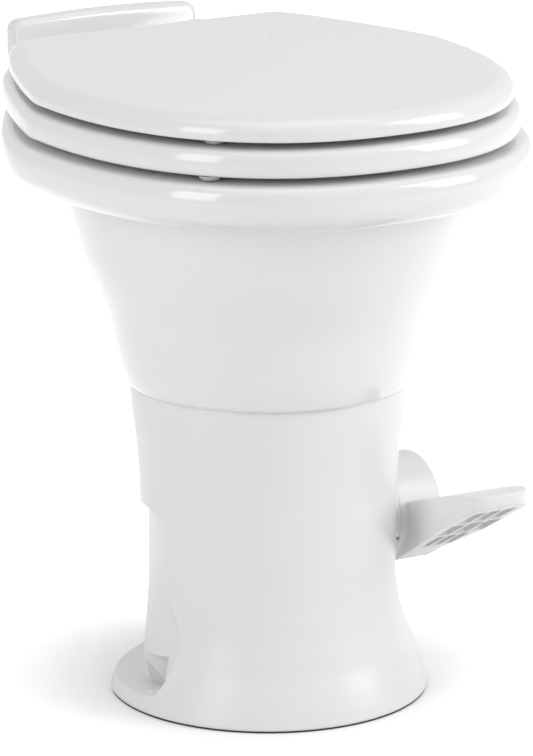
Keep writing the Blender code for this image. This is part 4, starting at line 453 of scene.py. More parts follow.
underside_line = (
    (0.046, 0.21078), (0.046, 0.21678), (0.038, 0.21678), (0.0403, 0.2251), (0.0538, 0.2321), (0.0690, 0.2435),
    (0.0831, 0.2563), (0.0944, 0.2805), (0.1040, 0.2709), (0.1010, 0.2490), (0.0996, 0.2449),
)
for radius, height in underside_line:
    bowl_levels.append((egg_ring(deck, radius, radius, radius), height))
bowl_levels.append(bowl_levels[0])
bowl = as_object("bowl_casting", ring_shell(bowl_levels, closed=True))


def flat_plan(u, v, level):
    return (u, v, level)


def across_plan(u, v, level):
    return (level, u, v)


def along_plan(u, v, level):
    return (u, level, v)


HINGE_X, HINGE_BOLT_Y = 0.070, 0.2265
deck_tools = [extruded(
    "deck_pocket",
    ((0.098, 0.182), (0.083, 0.2265), (0.066, 0.2435), (-0.066, 0.2435), (-0.083, 0.2265), (-0.098, 0.182)),
    flat_plan, 0.385, 0.423,
)]
for side in (-1, 1):
    deck_tools.append(spun(
        "deck_hole", ((0, 0.40), (0.0038, 0.40), (0.0038, 0.45), (0, 0.45)), (0, 0, 1), (side * HINGE_X, HINGE_BOLT_Y, 0), 24,
    ))
deck_tools.append(spun(
    "nozzle_hole", ((0, 0.112), (0.0093, 0.112), (0.0093, 0.208), (0, 0.208)), (0, 1, 0), (0, 0, 0.347), 32,
))
carve(bowl, *deck_tools)
settle(bowl, porcelain, "glazed_ceramic", "toilet", "bowl")

# The back wall of the deck, cast with the bowl: an upright ridge with round corners behind the lid. Its
# front runs down to the deck in a hollow curve, where the slip drew in as it dried.
BACK_HALF, BACK_FRONT, BACK_TOP, BACK_CORNER, BACK_CROWN = 0.0815, 0.253, 0.4797, 0.008, 0.0030
corner_points = [
    (BACK_HALF - BACK_CORNER + BACK_CORNER * math.cos(math.pi / 2 * i / 10),
     BACK_TOP - BACK_CORNER + BACK_CORNER * math.sin(math.pi / 2 * i / 10))
    for i in range(11)
]
half_wall = [(BACK_HALF, RIM_TOP - 0.004)] + corner_points
wall_outline = half_wall + [(-x, z) for x, z in reversed(half_wall)]
wall_shape = bmesh.new()
wall_face = wall_shape.faces.new([wall_shape.verts.new((x, BACK_FRONT + COLUMN_Y, z)) for x, z in wall_outline])
wall_grown = bmesh.ops.extrude_face_region(wall_shape, geom=[wall_face])["geom"]
bmesh.ops.translate(
    wall_shape, vec=(0, DECK_BACK - 0.0003 - BACK_FRONT, 0),
    verts=[item for item in wall_grown if isinstance(item, bmesh.types.BMVert)],
)
wall_edges = [
    edge for edge in wall_shape.edges
    if abs(edge.verts[0].co.y - edge.verts[1].co.y) < 0.001 and max(v.co.z for v in edge.verts) > RIM_TOP
]
bmesh.ops.bevel(
    wall_shape, geom=wall_edges, offset=0.0055, affect="EDGES", segments=4, profile=0.5, material=-1,
)
for step in range(11):
    bmesh.ops.bisect_plane(
        wall_shape, geom=wall_shape.verts[:] + wall_shape.edges[:] + wall_shape.faces[:],
        plane_co=(0, 0, RIM_TOP + 0.0036 * step), plane_no=(0, 0, 1),
    )
for step in range(-6, 7):
    bmesh.ops.bisect_plane(
        wall_shape, geom=wall_shape.verts[:] + wall_shape.edges[:] + wall_shape.faces[:],
        plane_co=(0.012 * step, 0, 0), plane_no=(1, 0, 0),
    )
HOLLOW_TOP, HOLLOW_REACH, HOLLOW_POWER = 0.4765, 0.0130, 1.4
for spot in wall_shape.verts:
    if spot.co.y < BACK_FRONT + COLUMN_Y + 0.008 and spot.co.z < HOLLOW_TOP:
        sink = min((HOLLOW_TOP - spot.co.z) / (HOLLOW_TOP - RIM_TOP), 1.0)
        spot.co.y -= HOLLOW_REACH * sink ** HOLLOW_POWER
    if spot.co.z > RIM_TOP:
        rise = (spot.co.z - RIM_TOP) / (BACK_TOP - RIM_TOP)
        spot.co.z += BACK_CROWN * rise * (1 - (spot.co.x / BACK_HALF) ** 2)
bmesh.ops.recalc_face_normals(wall_shape, faces=wall_shape.faces)
back_wall = as_object("bowl_back_wall", wall_shape)
settle(back_wall, porcelain, "glazed_ceramic", "toilet", "bowl", sharp=50)

# The pedestal: a waisted shell, injection moulded in white glossy plastic. Each side is scooped in over
# a flat ledge, where a pocket gives room for the floor bolt. Draft and sink marks leave it a little uneven.
MOULDING = (0.806, 0.816, 0.822, 1.0)
MOULDING_SINK = (0.801, 0.812, 0.818, 1.0)
SCOOP_FLOOR, SCOOP_TOP = 0.0132, 0.1490
SCOOP_TILT, SCOOP_LEVEL = 0.0040, math.radians(30)
SCOOP_BACK = math.radians(74)
REAR_DRAW, REAR_TOP, REAR_START, REAR_SPAN = 0.0070, 0.090, math.radians(14), math.radians(44)

moulding = make_finish(
    "white glossy moulding", (MOULDING, MOULDING_SINK), 260.0, (0.34, 0.02), (7.0, 0.00004), (900.0, 0.000004),
    Coat_Weight=0.10, Coat_Roughness=0.22, IOR=1.49,
)
column_line = smooth_row((
    (0.0020, 0.12250), (0.01128, 0.11975), (0.02444, 0.11475), (0.03666, 0.10925), (0.04982, 0.10525),
    (0.06392, 0.10125), (0.07896, 0.09875), (0.0940, 0.09750), (0.1390, 0.09750), (0.17056, 0.09847),
    (0.19686, 0.10050), (0.22106, 0.10333), (0.2442, 0.10560),
), 8)
scoop_line = smooth_row((
    (0.0, 0.0962), (SCOOP_FLOOR, 0.0962), (0.030, 0.0954), (0.048, 0.0938), (0.070, 0.0922), (0.094, 0.0914), (0.125, 0.0914),
    (0.1415, 0.0916), (0.1445, 0.0934), (0.1475, 0.0978), (0.1500, 0.1030), (0.1600, 0.1200),
), 6)
lean_line = smooth_row((
    (0.0, 9.0), (SCOOP_FLOOR, 9.5), (0.0165, 13.4), (0.0215, 15.6), (0.030, 17.6), (0.048, 19.6), (0.065, 21.6), (0.090, 22.5), (0.120, 22.0), (0.160, 21.0),
), 6)
fold_line = smooth_row((
    (0.0, 3.0), (0.030, 3.2), (0.045, 4.0), (0.060, 9.0), (0.075, 20.0), (0.095, 34.0), (0.120, 42.0), (0.160, 45.0),
), 6)
crest_line = smooth_row((
    (0.0, 0.0), (SCOOP_FLOOR - 0.004, 0.0), (0.019, 0.0014), (0.040, 0.0015), (0.055, 0.0008), (0.072, 0.0), (0.160, 0.0),
), 6)


def read_line(line, where):
    """Value of a table of (place, value) points at a place between them."""
    for (low, first), (high, second) in zip(line, line[1:]):
        if where <= high:
            return first + (second - first) * max(where - low, 0) / (high - low)
    return line[-1][1]


def column_ring(height, scooped, worn=0.0):
    """Ring of the outer wall, with points on both edges of each scoop, so that its folds stay crisp."""
    outside = read_line(column_line, height)
    lean = math.radians(read_line(lean_line, height))
    fold = math.radians(read_line(fold_line, height))
    crest = read_line(crest_line, height)
    back_fold = math.radians(4.0)
    right = []
    for share in (i / 16 for i in range(16)):
        right.append((-lean + fold * share, share ** 2 * (3 - 2 * share)))
    for share in (i / 24 for i in range(24)):
        right.append((-lean + fold + (SCOOP_BACK - back_fold + lean - fold) * share, 1.0))
    for share in (i / 8 for i in range(9)):
        right.append((SCOOP_BACK - back_fold + back_fold * share, 1.0 - share ** 2 * (3 - 2 * share)))
    rear_half = [(SCOOP_BACK + (math.pi / 2 - SCOOP_BACK) * i / 10, 0.0) for i in range(1, 11)]
    front_half = [(-lean - (math.pi / 2 - lean) * (i / 30) ** 1.4, 0.0) for i in range(1, 31)]
    quarter = list(reversed(front_half)) + right + rear_half
    ring = []
    for angle, depth in quarter:
        far = min(max((angle - REAR_START) / REAR_SPAN, 0.0), 1.0)
        low = min(max((REAR_TOP - height) / REAR_TOP, 0.0), 1.0)
        around = outside - REAR_DRAW * far ** 2 * (3 - 2 * far) * low
        lift = SCOOP_TILT * min(max((SCOOP_LEVEL - angle) / SCOOP_LEVEL, 0.0), 1.0) * min(height / SCOOP_TOP, 1.0)
        inside = min(around, read_line(scoop_line, height - lift)) if scooped else around - worn
        radius = around + (inside - around) * depth
        radius += crest * (1 - depth) * math.exp(-((angle + lean) / math.radians(2.6)) ** 2)
        ring.append((radius * math.cos(angle), radius * math.sin(angle)))
    return ring + [(-x, y) for x, y in reversed(ring[1:-1])]


foot_ring = column_ring(0.0030, False)
# The foot's bottom steps in over a black ring under its edge, a painted contact shadow.
SHADOW_RING_TOP, SHADOW_RING_SHARE, FOOT_EDGE_SHARE = 0.0016, 0.93, 0.995
column_levels = [
    ([(x * share, y * share) for x, y in foot_ring], height)
    for share, height in (
        (SHADOW_RING_SHARE, 0.0), (SHADOW_RING_SHARE, SHADOW_RING_TOP), (FOOT_EDGE_SHARE, SHADOW_RING_TOP), (0.9985, SHADOW_RING_TOP + 0.0005))
]
for height in (0.0030, 0.0045, 0.006, 0.008, 0.010, 0.0118):
    column_levels.append((column_ring(height, False), height))
for drop, worn in ((0.0010, 0.0001), (0.0005, 0.0004), (0.0002, 0.0008), (0.0, 0.0016)):
    column_levels.append((column_ring(SCOOP_FLOOR - drop, False, worn), SCOOP_FLOOR - drop))
height = SCOOP_FLOOR + 0.0001
while height < SCOOP_TOP + 0.008:
    column_levels.append((column_ring(height, True), height))
    height += 0.0015
for step in range(20):
    height = 0.1590 + (0.2435 - 0.1590) * step / 19
    column_levels.append((column_ring(height, False), height))
column_levels.append(([(x * 0.994, y * 0.994) for x, y in column_ring(0.2442, False)], 0.2442))
ring_angles = column_ring(0.2, False)


def plain_ring(radius):
    return [(x * radius / math.hypot(x, y), y * radius / math.hypot(x, y)) for x, y in ring_angles]


for radius, height in (
    (0.0982, 0.2442), (0.0982, 0.2530), (0.0974, 0.2537), (0.0950, 0.2537), (0.0942, 0.2530), (0.0942, 0.2123),
    (0.0875, 0.1505), (0.0875, 0.0080), (0.0425, 0.0080), (0.0425, 0.0),
):
    column_levels.append((plain_ring(radius), height))
column_levels.append(column_levels[0])
pedestal = as_object("pedestal_shell", ring_shell(column_levels, closed=True))

AXIS_Z = 0.125
ACROSS = (0, 0, AXIS_Z)
boss = spun(
    "cartridge_boss",
    ((0, 0.0838), (0.041, 0.0838), (0.041, 0.0934), (0.0386, 0.0934), (0.0386, 0.0965), (0, 0.0965)), (1, 0, 0), ACROSS, 96,
)
carve(pedestal, boss, way="UNION")


def pocket(name, side, margin, inner, outer, low, high, rear=0.0340):
    """Block of a bolt pocket, narrower at its floor."""
    outline = ((-0.0066 - margin, low), (0.0115 + margin, low), (rear + margin, high - 0.009), (-0.0125 - margin, high))
    return extruded(name, outline, across_plan, *sorted((side * inner, side * outer)))


for side in (-1, 1):
    room_wall = pocket("pocket_wall", side, 0.003, 0.061, 0.0962, 0.004, 0.042)
    room_end = spun("pocket_end", ((0, 0.0), (0.0895, 0.0), (0.0895, 0.069), (0, 0.069)), (0, 0, 1), (0, 0, 0), 96)
    carve(room_wall, room_end, way="INTERSECT")
    carve(pedestal, room_wall, way="UNION")
pedestal_tools = [
    spun("housing_hole", ((0, 0.07), (0.0303, 0.07), (0.0303, 0.1005), (0, 0.1005)), (1, 0, 0), ACROSS, 64),
    spun("flange_seat", ((0, 0.0965), (0.042, 0.0965), (0.042, 0.1015), (0, 0.1015)), (1, 0, 0), ACROSS, 64),
    spun("skirt_room", ((0.0386, 0.0934), (0.0420, 0.0934), (0.0420, 0.1015), (0.0386, 0.1015)), (1, 0, 0), ACROSS, 96),
    extruded("valve_window", ((0.040, 0.040), (0.086, 0.040), (0.086, 0.1015), (0.040, 0.1015)), flat_plan, 0.101, 0.149),
    spun("seal_groove", ((0.046, -0.004), (0.056, -0.004), (0.056, 0.0045), (0.046, 0.0045)), (0, 0, 1), (0, 0, 0), 96),
]
for side in (-1, 1):
    nut_outline = ((-0.0068, 0.0096), (0.0075, 0.0096), (0.0075, 0.033), (-0.0068, 0.033))
    pedestal_tools.append(extruded("nut_room", nut_outline, across_plan, *sorted((side * 0.070, side * 0.0974))))
    wedge = pocket("pocket_room", side, 0.0, 0.0705, 0.0974, 0.0096, 0.039)
    slope = ((side * 0.0815, -0.03), (side * 0.0815, 0.0075), (side * 0.0940, 0.036), (side * 0.11, 0.036), (side * 0.11, -0.03))
    carve(wedge, extruded("pocket_slope", slope, flat_plan, 0.0, 0.05), way="INTERSECT")
    pedestal_tools.append(wedge)
    pedestal_tools.append(spun(
        "floor_bolt_hole", ((0, -0.004), (0.0036, -0.004), (0.0036, 0.0165), (0, 0.0165)), (0, 0, 1), (side * 0.0762, 0, 0), 24,
    ))
    pedestal_tools.append(spun(
        "housing_pilot", ((0, 0.0885), (0.0023, 0.0885), (0.0023, 0.1005), (0, 0.1005)), (1, 0, 0),
        (0, 0, AXIS_Z + side * 0.0342), 20,
    ))
carve(pedestal, *pedestal_tools)
settle(pedestal, moulding, "white_moulding", "toilet", "pedestal", sharp=62)

# A thin black ring under the foot's edge, in the black finish of the sealing rubber: a painted shadow, a dark ring that
# stands in for the contact shadow where the pedestal meets the floor. It shows as a thin dark line all round.
BLACK = (0.018, 0.018, 0.019, 1.0)
BLACK_BLOOM = (0.038, 0.038, 0.040, 1.0)
SHADOW_RING_GAP = 0.0002
rubber_and_shadow_black = make_finish(
    "black sealing rubber and painted shadow", (BLACK, BLACK_BLOOM), 60.0, (0.55, 0.25), (300.0, 0.00003), (2500.0, 0.00002),
)
shadow_ring_levels = [
    ([(x * share, y * share) for x, y in foot_ring], height)
    for share, height in (
        (0.940, SHADOW_RING_GAP), (0.993, SHADOW_RING_GAP), (0.9945, SHADOW_RING_GAP * 2), (0.9945, SHADOW_RING_TOP - SHADOW_RING_GAP * 2),
        (0.993, SHADOW_RING_TOP - SHADOW_RING_GAP), (0.940, SHADOW_RING_TOP - SHADOW_RING_GAP))
]
shadow_ring = as_object("foot_shadow_ring", ring_shell(shadow_ring_levels + shadow_ring_levels[:1], closed=True))
settle(shadow_ring, rubber_and_shadow_black, "black_rubber", "toilet", "pedestal")

# The ball valve inside the pedestal: a grey engineering-plastic chamber with its bushes, clamp halves and
# cam, moulded with a fine spark-eroded grain. The flush ball has the same plastic, worn smooth by use.
GREY = (0.105, 0.110, 0.118, 1.0)
GREY_PALE = (0.150, 0.155, 0.162, 1.0)
grey_moulding = make_finish(
    "grey grained moulding", (GREY, GREY_PALE), 30.0, (0.42, 0.16), (120.0, 0.00008), (1600.0, 0.00004), IOR=1.5,
)
ball_plastic = make_finish(
    "polished ball plastic", (GREY, GREY_PALE), 45.0, (0.18, 0.10), (90.0, 0.00002), (2200.0, 0.000006),
    Coat_Weight=0.3, Coat_Roughness=0.1, IOR=1.5,
)


def dress(finish, *names):
    """Give CAD nodes that keep their own shape a finish."""
    for name in names:
        for place in nodes[name].material_slots:
            place.material = finish


dress(grey_moulding, "valve_body", "shaft_bush_left", "shaft_bush_right", "clamp_front", "clamp_rear", "drive_cam", "valve_plunger")
dress(ball_plastic, "flush_ball")

# Rubber rings that seal the foot, the neck, the ball and the shaft: moulded black nitrile rubber with a
# dull bloom on it. They are pressed into their grooves.
dress(rubber_and_shadow_black, "flange_seal", "bowl_seal", "ball_seal", "shaft_seal_left", "shaft_seal_right")

# Screws, bolts, nuts, shaft, pins and the wound spring: cold-formed stainless steel, a little scratched by
# tools, with a satin drawn surface.
STEEL = (0.600, 0.610, 0.620, 1.0)
STEEL_DULL = (0.480, 0.485, 0.490, 1.0)
steel = make_finish(
    "satin stainless steel", (STEEL, STEEL_DULL), 160.0, (0.22, 0.20), (700.0, 0.00001), (3000.0, 0.00001), Metallic=1.0,
)
dress(
    steel, "closet_bolt_left", "closet_bolt_right", "closet_nut_left", "closet_nut_right", "clamp_screw_left",
    "clamp_screw_right", "clamp_nut_left", "clamp_nut_right", "housing_screw_lower", "housing_screw_upper",
    "valve_screw_lower", "valve_screw_upper", "torsion_spring", "drive_shaft", "pivot_pin", "pedal_screw",
    "hinge_pin_left", "hinge_pin_right", "hinge_bolt_left", "hinge_bolt_right", "hinge_washer_left", "hinge_washer_right",
)

# The foot pedal: one white moulding of a cup-shaped hub and a wedge-shaped tread. The tread is hollow
# underneath and stiffened by a grid of ribs. A screw holds the hub on the end of the drive shaft.
HUB_RADIUS, SKIRT_START, HUB_START, HUB_FACE = 0.041, 0.0937, 0.1023, 0.1325
RISE_BOTTOM, RISE_TOP = math.tan(math.radians(30)), math.tan(math.radians(19))
TOE_INNER_X, TOE_OUTER_X, PEDAL_INNER_X = 0.0865, 0.1455, 0.1005
TOE_START, TOE_END, TOE_STEPS, TOE_POWER = -0.128, -0.1525, 16, 2.4
TOE_BEND, TOE_FALL = -0.112, 0.0062


def tread_bottom(y):
    return AXIS_Z - 0.050 - y * RISE_BOTTOM if y < -0.0205 else AXIS_Z - 0.038 + y / 0.0205 * -0.00017


def tread_top(y):
    fall = TOE_FALL * max((TOE_BEND - y) / (TOE_BEND - TOE_END), 0.0) ** 2
    return AXIS_Z + 0.0005 - y * RISE_TOP - fall if y < -0.0353 else AXIS_Z + 0.0205 + y / 0.0353 * 0.00785


toe_middle, toe_half = (TOE_OUTER_X + TOE_INNER_X) / 2, (TOE_OUTER_X - TOE_INNER_X) / 2
toe = []
for i in range(TOE_STEPS + 1):
    angle = math.pi * i / TOE_STEPS
    sway = math.copysign(abs(math.cos(angle)) ** (2 / TOE_POWER), math.cos(angle))
    toe.append((toe_middle - toe_half * sway, TOE_START + (TOE_END - TOE_START) * math.sin(angle) ** (2 / TOE_POWER)))
tread_plan = [(PEDAL_INNER_X, 0.0), (PEDAL_INNER_X, -HUB_RADIUS), (TOE_INNER_X, -0.117)] + toe
tread_plan += [(TOE_OUTER_X, -0.077), (HUB_FACE, -HUB_RADIUS), (HUB_FACE, 0.0)]
tread_shape = bmesh.new()
tread_face = tread_shape.faces.new([tread_shape.verts.new((x, y + COLUMN_Y, 0.0)) for x, y in tread_plan])
tread_grown = bmesh.ops.extrude_face_region(tread_shape, geom=[tread_face])["geom"]
bmesh.ops.translate(tread_shape, vec=(0, 0, 0.3), verts=[v for v in tread_grown if isinstance(v, bmesh.types.BMVert)])
for knee in (-0.0205, -0.0353, -0.112, -0.118, -0.124, -0.130, -0.136, -0.142, -0.147):
    bmesh.ops.bisect_plane(
        tread_shape, geom=tread_shape.verts[:] + tread_shape.edges[:] + tread_shape.faces[:],
        plane_co=(0, knee + COLUMN_Y, 0), plane_no=(0, 1, 0),
    )
for spot in tread_shape.verts:
    y = spot.co.y - COLUMN_Y
    spot.co.z = tread_bottom(y) if spot.co.z < 0.15 else tread_top(y)
bmesh.ops.recalc_face_normals(tread_shape, faces=tread_shape.faces)
tread_edges = [
    edge for edge in tread_shape.edges
    if edge.calc_face_angle(0.0) > math.radians(35) and max(v.co.y for v in edge.verts) < COLUMN_Y - 0.01
]
bmesh.ops.bevel(
    tread_shape, geom=tread_edges, offset=0.0024, affect="EDGES", segments=4, profile=0.5, material=-1, clamp_overlap=True,
)
pedal = as_object("foot_pedal", tread_shape)
hub_round = [
    (HUB_RADIUS - 0.005 + 0.005 * math.cos(math.pi / 2 * i / 8), HUB_FACE - 0.005 + 0.005 * math.sin(math.pi / 2 * i / 8))
    for i in range(9)
]
hub = spun("pedal_hub", [(0, SKIRT_START), (HUB_RADIUS, SKIRT_START)] + hub_round + [(0, HUB_FACE)], (1, 0, 0), ACROSS, 96)
carve(pedal, hub, way="UNION")
RIB, SKIN = 0.0026, 0.003
CELL_ROWS, CELL_COLUMNS, CELLS_START, CELLS_END = 3, 3, -0.050, -0.1418
cell_depth = (CELLS_START - CELLS_END) / CELL_ROWS
pedal_tools = []
for row in range(CELL_ROWS):
    near = CELLS_START - cell_depth * row - RIB / 2
    far = CELLS_START - cell_depth * (row + 1) + RIB / 2
    spread = min(1.0, (near + HUB_RADIUS) / (-0.117 + HUB_RADIUS))
    left = PEDAL_INNER_X + (TOE_INNER_X - PEDAL_INNER_X) * spread + SKIN
    right = HUB_FACE + (TOE_OUTER_X - HUB_FACE) * min(1.0, (near + HUB_RADIUS) / (-0.077 + HUB_RADIUS)) - SKIN
    if row == CELL_ROWS - 1:
        left, right = left + 2 * SKIN, right - 2 * SKIN
    width = (right - left) / CELL_COLUMNS
    for column in range(CELL_COLUMNS):
        outline = (
            (near, tread_bottom(near) - 0.004), (far, tread_bottom(far) - 0.004),
            (far, tread_top(far) - SKIN - 0.001), (near, tread_top(near) - SKIN - 0.001),
        )
        pedal_tools.append(extruded(
            "tread_cell", outline, across_plan, left + width * column + RIB / 2, left + width * (column + 1) - RIB / 2,
        ))
pedal_tools.append(spun(
    "hub_cup", ((0.0115, 0.098), (0.037, 0.098), (0.037, 0.1285), (0.0115, 0.1285)), (1, 0, 0), ACROSS, 64,
))
pedal_tools.append(spun(
    "flange_room", ((0, 0.090), (0.0392, 0.090), (0.0392, HUB_START), (0, HUB_START)), (1, 0, 0), ACROSS, 96,
))
pedal_tools.append(spun("shaft_hole", ((0, 0.098), (0.0063, 0.098), (0.0063, 0.1268), (0, 0.1268)), (1, 0, 0), ACROSS, 32))
pedal_tools.append(spun("screw_hole", ((0, 0.10), (0.0023, 0.10), (0.0023, 0.14), (0, 0.14)), (1, 0, 0), ACROSS, 24))
carve(pedal, *pedal_tools)
PEDAL_WHITE, PEDAL_SINK = (0.820, 0.822, 0.818, 1.0), (0.810, 0.813, 0.810, 1.0)
pedal_moulding = make_finish(
    "white pedal moulding", (PEDAL_WHITE, PEDAL_SINK), 14.0, (0.30, 0.04), (60.0, 0.00002), (1800.0, 0.000004), IOR=1.49,
)
settle(pedal, pedal_moulding, "white_moulding", "pedal_drive", "pedal", sharp=30)

# The cartridge housing behind the pedal and the body of the water valve: white mouldings held by steel
# screws. They lie inside the hub and the rear window, so that they keep the shape of their frame.
dress(moulding, "cartridge_housing", "water_valve")

# The inlet fitting: turned brass with a hexagon for the spanner, dulled where water has dried on it.
BRASS = (0.640, 0.440, 0.170, 1.0)
BRASS_DULL = (0.430, 0.300, 0.130, 1.0)
FITTING_SPOT = (0.064, 0, AXIS_Z)
FITTING_START, HEX_END, FITTING_END, THREADS = 0.1043, 0.1133, 0.1303, 11
brass = make_finish("turned brass", (BRASS, BRASS_DULL), 140.0, (0.25, 0.20), (500.0, 0.00002), (2600.0, 0.00001), Metallic=1.0)
pitch = (FITTING_END - HEX_END - 0.0016) / THREADS
thread_line = [(0.006, FITTING_START + 0.001), (0.0092, FITTING_START + 0.001), (0.0092, HEX_END + 0.0006)]
for i in range(THREADS):
    thread_line.append((0.0105, HEX_END + 0.0008 + pitch * (i + 0.35)))
    thread_line.append((0.0094, HEX_END + 0.0008 + pitch * (i + 0.9)))
thread_line += [(0.0090, FITTING_END), (0.006, FITTING_END)]
fitting = spun("inlet_fitting_turned", thread_line, (0, 1, 0), FITTING_SPOT, 48)
spanner_hex = spun(
    "spanner_hex",
    ((0.0061, FITTING_START), (0.0118, FITTING_START), (0.013, FITTING_START + 0.0008), (0.013, HEX_END - 0.0008),
     (0.0118, HEX_END), (0.0061, HEX_END)), (0, 1, 0), FITTING_SPOT, 6, math.radians(30),
)
carve(fitting, spanner_hex, way="UNION")
settle(fitting, brass, "brass", "toilet", "inlet_fitting", sharp=25)

# The supply hose: extruded black rubber with a smooth skin. Its ends are pushed over the barbs of the
# water valve and the vacuum breaker.
HOSE_OUTER, HOSE_INNER, HOSE_LEAD, HOSE_SIDES = 0.0085, 0.0063, 0.015, 32
BREAKER_Y = 0.1969
HOSE_START, HOSE_END = Vector((0.064, 0.092, 0.1623)), Vector((0, BREAKER_Y, 0.3067))
hose_rubber = make_finish(
    "black hose rubber", (BLACK, BLACK_BLOOM), 26.0, (0.36, 0.16), (90.0, 0.00003), (1800.0, 0.00001), IOR=1.5,
)
lead = Vector((0, 0, HOSE_LEAD))
pull = Vector((0, 0, (HOSE_END.z - HOSE_START.z - 2 * HOSE_LEAD) / 2))
knots = (HOSE_START + lead, HOSE_START + lead + pull, HOSE_END - lead - pull, HOSE_END - lead)
route = [HOSE_START - lead, HOSE_START - lead * 0.5, HOSE_START, HOSE_START + lead * 0.5]
for i in range(41):
    share = i / 40
    rest = 1 - share
    weights = (rest ** 3, 3 * share * rest ** 2, 3 * share ** 2 * rest, share ** 3)
    route.append(sum((knot * weight for knot, weight in zip(knots, weights)), Vector()))
route += [HOSE_END - lead * 0.5, HOSE_END, HOSE_END + lead * 0.5, HOSE_END + lead]
hose_frames = []
side_way = Vector((1, 0, 0))
for i, spot in enumerate(route):
    way = (route[min(i + 1, len(route) - 1)] - route[max(i - 1, 0)]).normalized()
    side_way = (side_way - way * side_way.dot(way)).normalized()
    hose_frames.append((spot + Vector((0, COLUMN_Y, 0)), side_way, way.cross(side_way)))


def hose_ring(frame_at, radius):
    """Ring of the hose round one spot of its line."""
    centre, across, up = frame_at
    turns = (2 * math.pi * i / HOSE_SIDES for i in range(HOSE_SIDES))
    return [centre + (across * math.cos(turn) + up * math.sin(turn)) * radius for turn in turns]


hose_rings = [hose_ring(hose_frames[0], 0.0080)] + [hose_ring(spot, HOSE_OUTER) for spot in hose_frames[1:-1]]
hose_rings += [hose_ring(hose_frames[-1], 0.0080)] + [hose_ring(spot, HOSE_INNER) for spot in reversed(hose_frames)]
hose = as_object("supply_hose_tube", ring_skin(hose_rings + hose_rings[:1], closed=True))
settle(hose, hose_rubber, "black_rubber", "toilet", "supply_hose")

# Two hose clamps: bands of stainless steel strip, rolled and punched with slots, that a worm screw in a
# pressed housing draws tight round the ends of the hose.
BAND_INNER, BAND_OUTER, BAND_WIDTH = 0.0091, 0.0101, 0.008
for label, end_spot, low in (("lower", HOSE_START, 0.1663), ("upper", HOSE_END, 0.2947)):
    spot = (end_spot.x, end_spot.y, 0)
    bead = 0.0004
    band = spun(
        f"clamp_band_{label}",
        ((BAND_INNER, low), (BAND_OUTER, low), (BAND_OUTER + bead, low + bead), (BAND_OUTER, low + 3 * bead),
         (BAND_OUTER, low + BAND_WIDTH - 3 * bead), (BAND_OUTER + bead, low + BAND_WIDTH - bead),
         (BAND_OUTER, low + BAND_WIDTH), (BAND_INNER, low + BAND_WIDTH)), (0, 0, 1), spot, 64,
    )
    for i in range(16):
        turn = math.pi * (0.75 + 1.5 * i / 15)
        middle = Vector((end_spot.x + math.sin(turn) * 0.0100, end_spot.y + math.cos(turn) * 0.0100, 0))
        along = Vector((math.cos(turn), -math.sin(turn), 0)) * 0.0004
        out = Vector((math.sin(turn), math.cos(turn), 0)) * 0.0008
        slot_plan = [middle - along - out * 0.2, middle + along - out * 0.2, middle + along + out, middle - along + out]
        carve(band, extruded(
            "slot", [(corner.x, corner.y) for corner in slot_plan], flat_plan, low + 0.0022, low + BAND_WIDTH - 0.0022,
        ))
    near = end_spot.y + BAND_OUTER - 0.0003
    shell_plan = (
        (end_spot.x - 0.0036, near - 0.0006), (end_spot.x + 0.0036, near - 0.0006), (end_spot.x + 0.0036, near + 0.0028),
        (end_spot.x + 0.0026, near + 0.0040), (end_spot.x - 0.0026, near + 0.0040), (end_spot.x - 0.0036, near + 0.0028),
    )
    carve(band, extruded("worm_shell", shell_plan, flat_plan, low + 0.0006, low + BAND_WIDTH - 0.0006), way="UNION")
    worm = spun(
        "worm_screw", ((0, -0.0052), (0.0019, -0.0052), (0.0019, 0.0038), (0.0030, 0.0040), (0.0030, 0.0062), (0.0026, 0.0066),
                       (0, 0.0066)), (1, 0, 0), (end_spot.x, near + 0.0018, low + BAND_WIDTH / 2), 6,
    )
    carve(band, worm, way="UNION")
    settle(band, steel, "stainless_steel", "toilet", f"hose_clamp_{label}", sharp=28)

# The vacuum breaker on the back of the bowl: a white moulded cup with a ribbed barb below and a socket for
# the inlet nozzle. Its cap is pressed on, with notches round its side that let air in.
BREAKER_SPOT = (0, BREAKER_Y, 0)
breaker_line = (
    (0, 0.307), (0.0046, 0.307), (0.0058, 0.3100), (0.0060, 0.3112), (0.0050, 0.3116), (0.0058, 0.3146), (0.0060, 0.3158),
    (0.0050, 0.3162), (0.0058, 0.3192), (0.0060, 0.3204), (0.0052, 0.3208), (0.0052, 0.3235), (0.0060, 0.3246),
    (0.0118, 0.3252), (0.0138, 0.3262), (0.0148, 0.3280), (0.0150, 0.3300), (0.0150, 0.3590), (0.0146, 0.3600),
    (0.0146, 0.3640), (0, 0.3640),
)
breaker = spun("vacuum_breaker_cup", breaker_line, (0, 0, 1), BREAKER_SPOT, 72)
carve(breaker, spun(
    "nozzle_socket", ((0, 0.176), (0.0093, 0.176), (0.0093, BREAKER_Y), (0, BREAKER_Y)), (0, 1, 0), (0, 0, 0.347), 48,
))
settle(breaker, moulding, "white_moulding", "toilet", "vacuum_breaker", sharp=40)
cap = spun(
    "vacuum_breaker_lid",
    ((0, 0.3643), (0.0184, 0.3643), (0.0190, 0.3649), (0.0190, 0.3698), (0.0187, 0.3714), (0.0178, 0.3727), (0.0162, 0.3733),
     (0.0110, 0.3729), (0, 0.3729)), (0, 0, 1), BREAKER_SPOT, 72,
)
cap_shape = bmesh.new()
cap_shape.from_mesh(cap.data)
notches = []
for face in cap_shape.faces:
    middle = face.calc_center_median() - Vector((0, BREAKER_Y + COLUMN_Y, 0))
    wedge_index = int((math.atan2(middle.y, middle.x) + math.pi) / (2 * math.pi) * 72)
    if 0.3655 < middle.z < 0.3690 and wedge_index % 3 == 0:
        notches.append(face)
bmesh.ops.inset_individual(cap_shape, faces=notches, thickness=0.0003, depth=-0.0007)
cap_shape.to_mesh(cap.data)
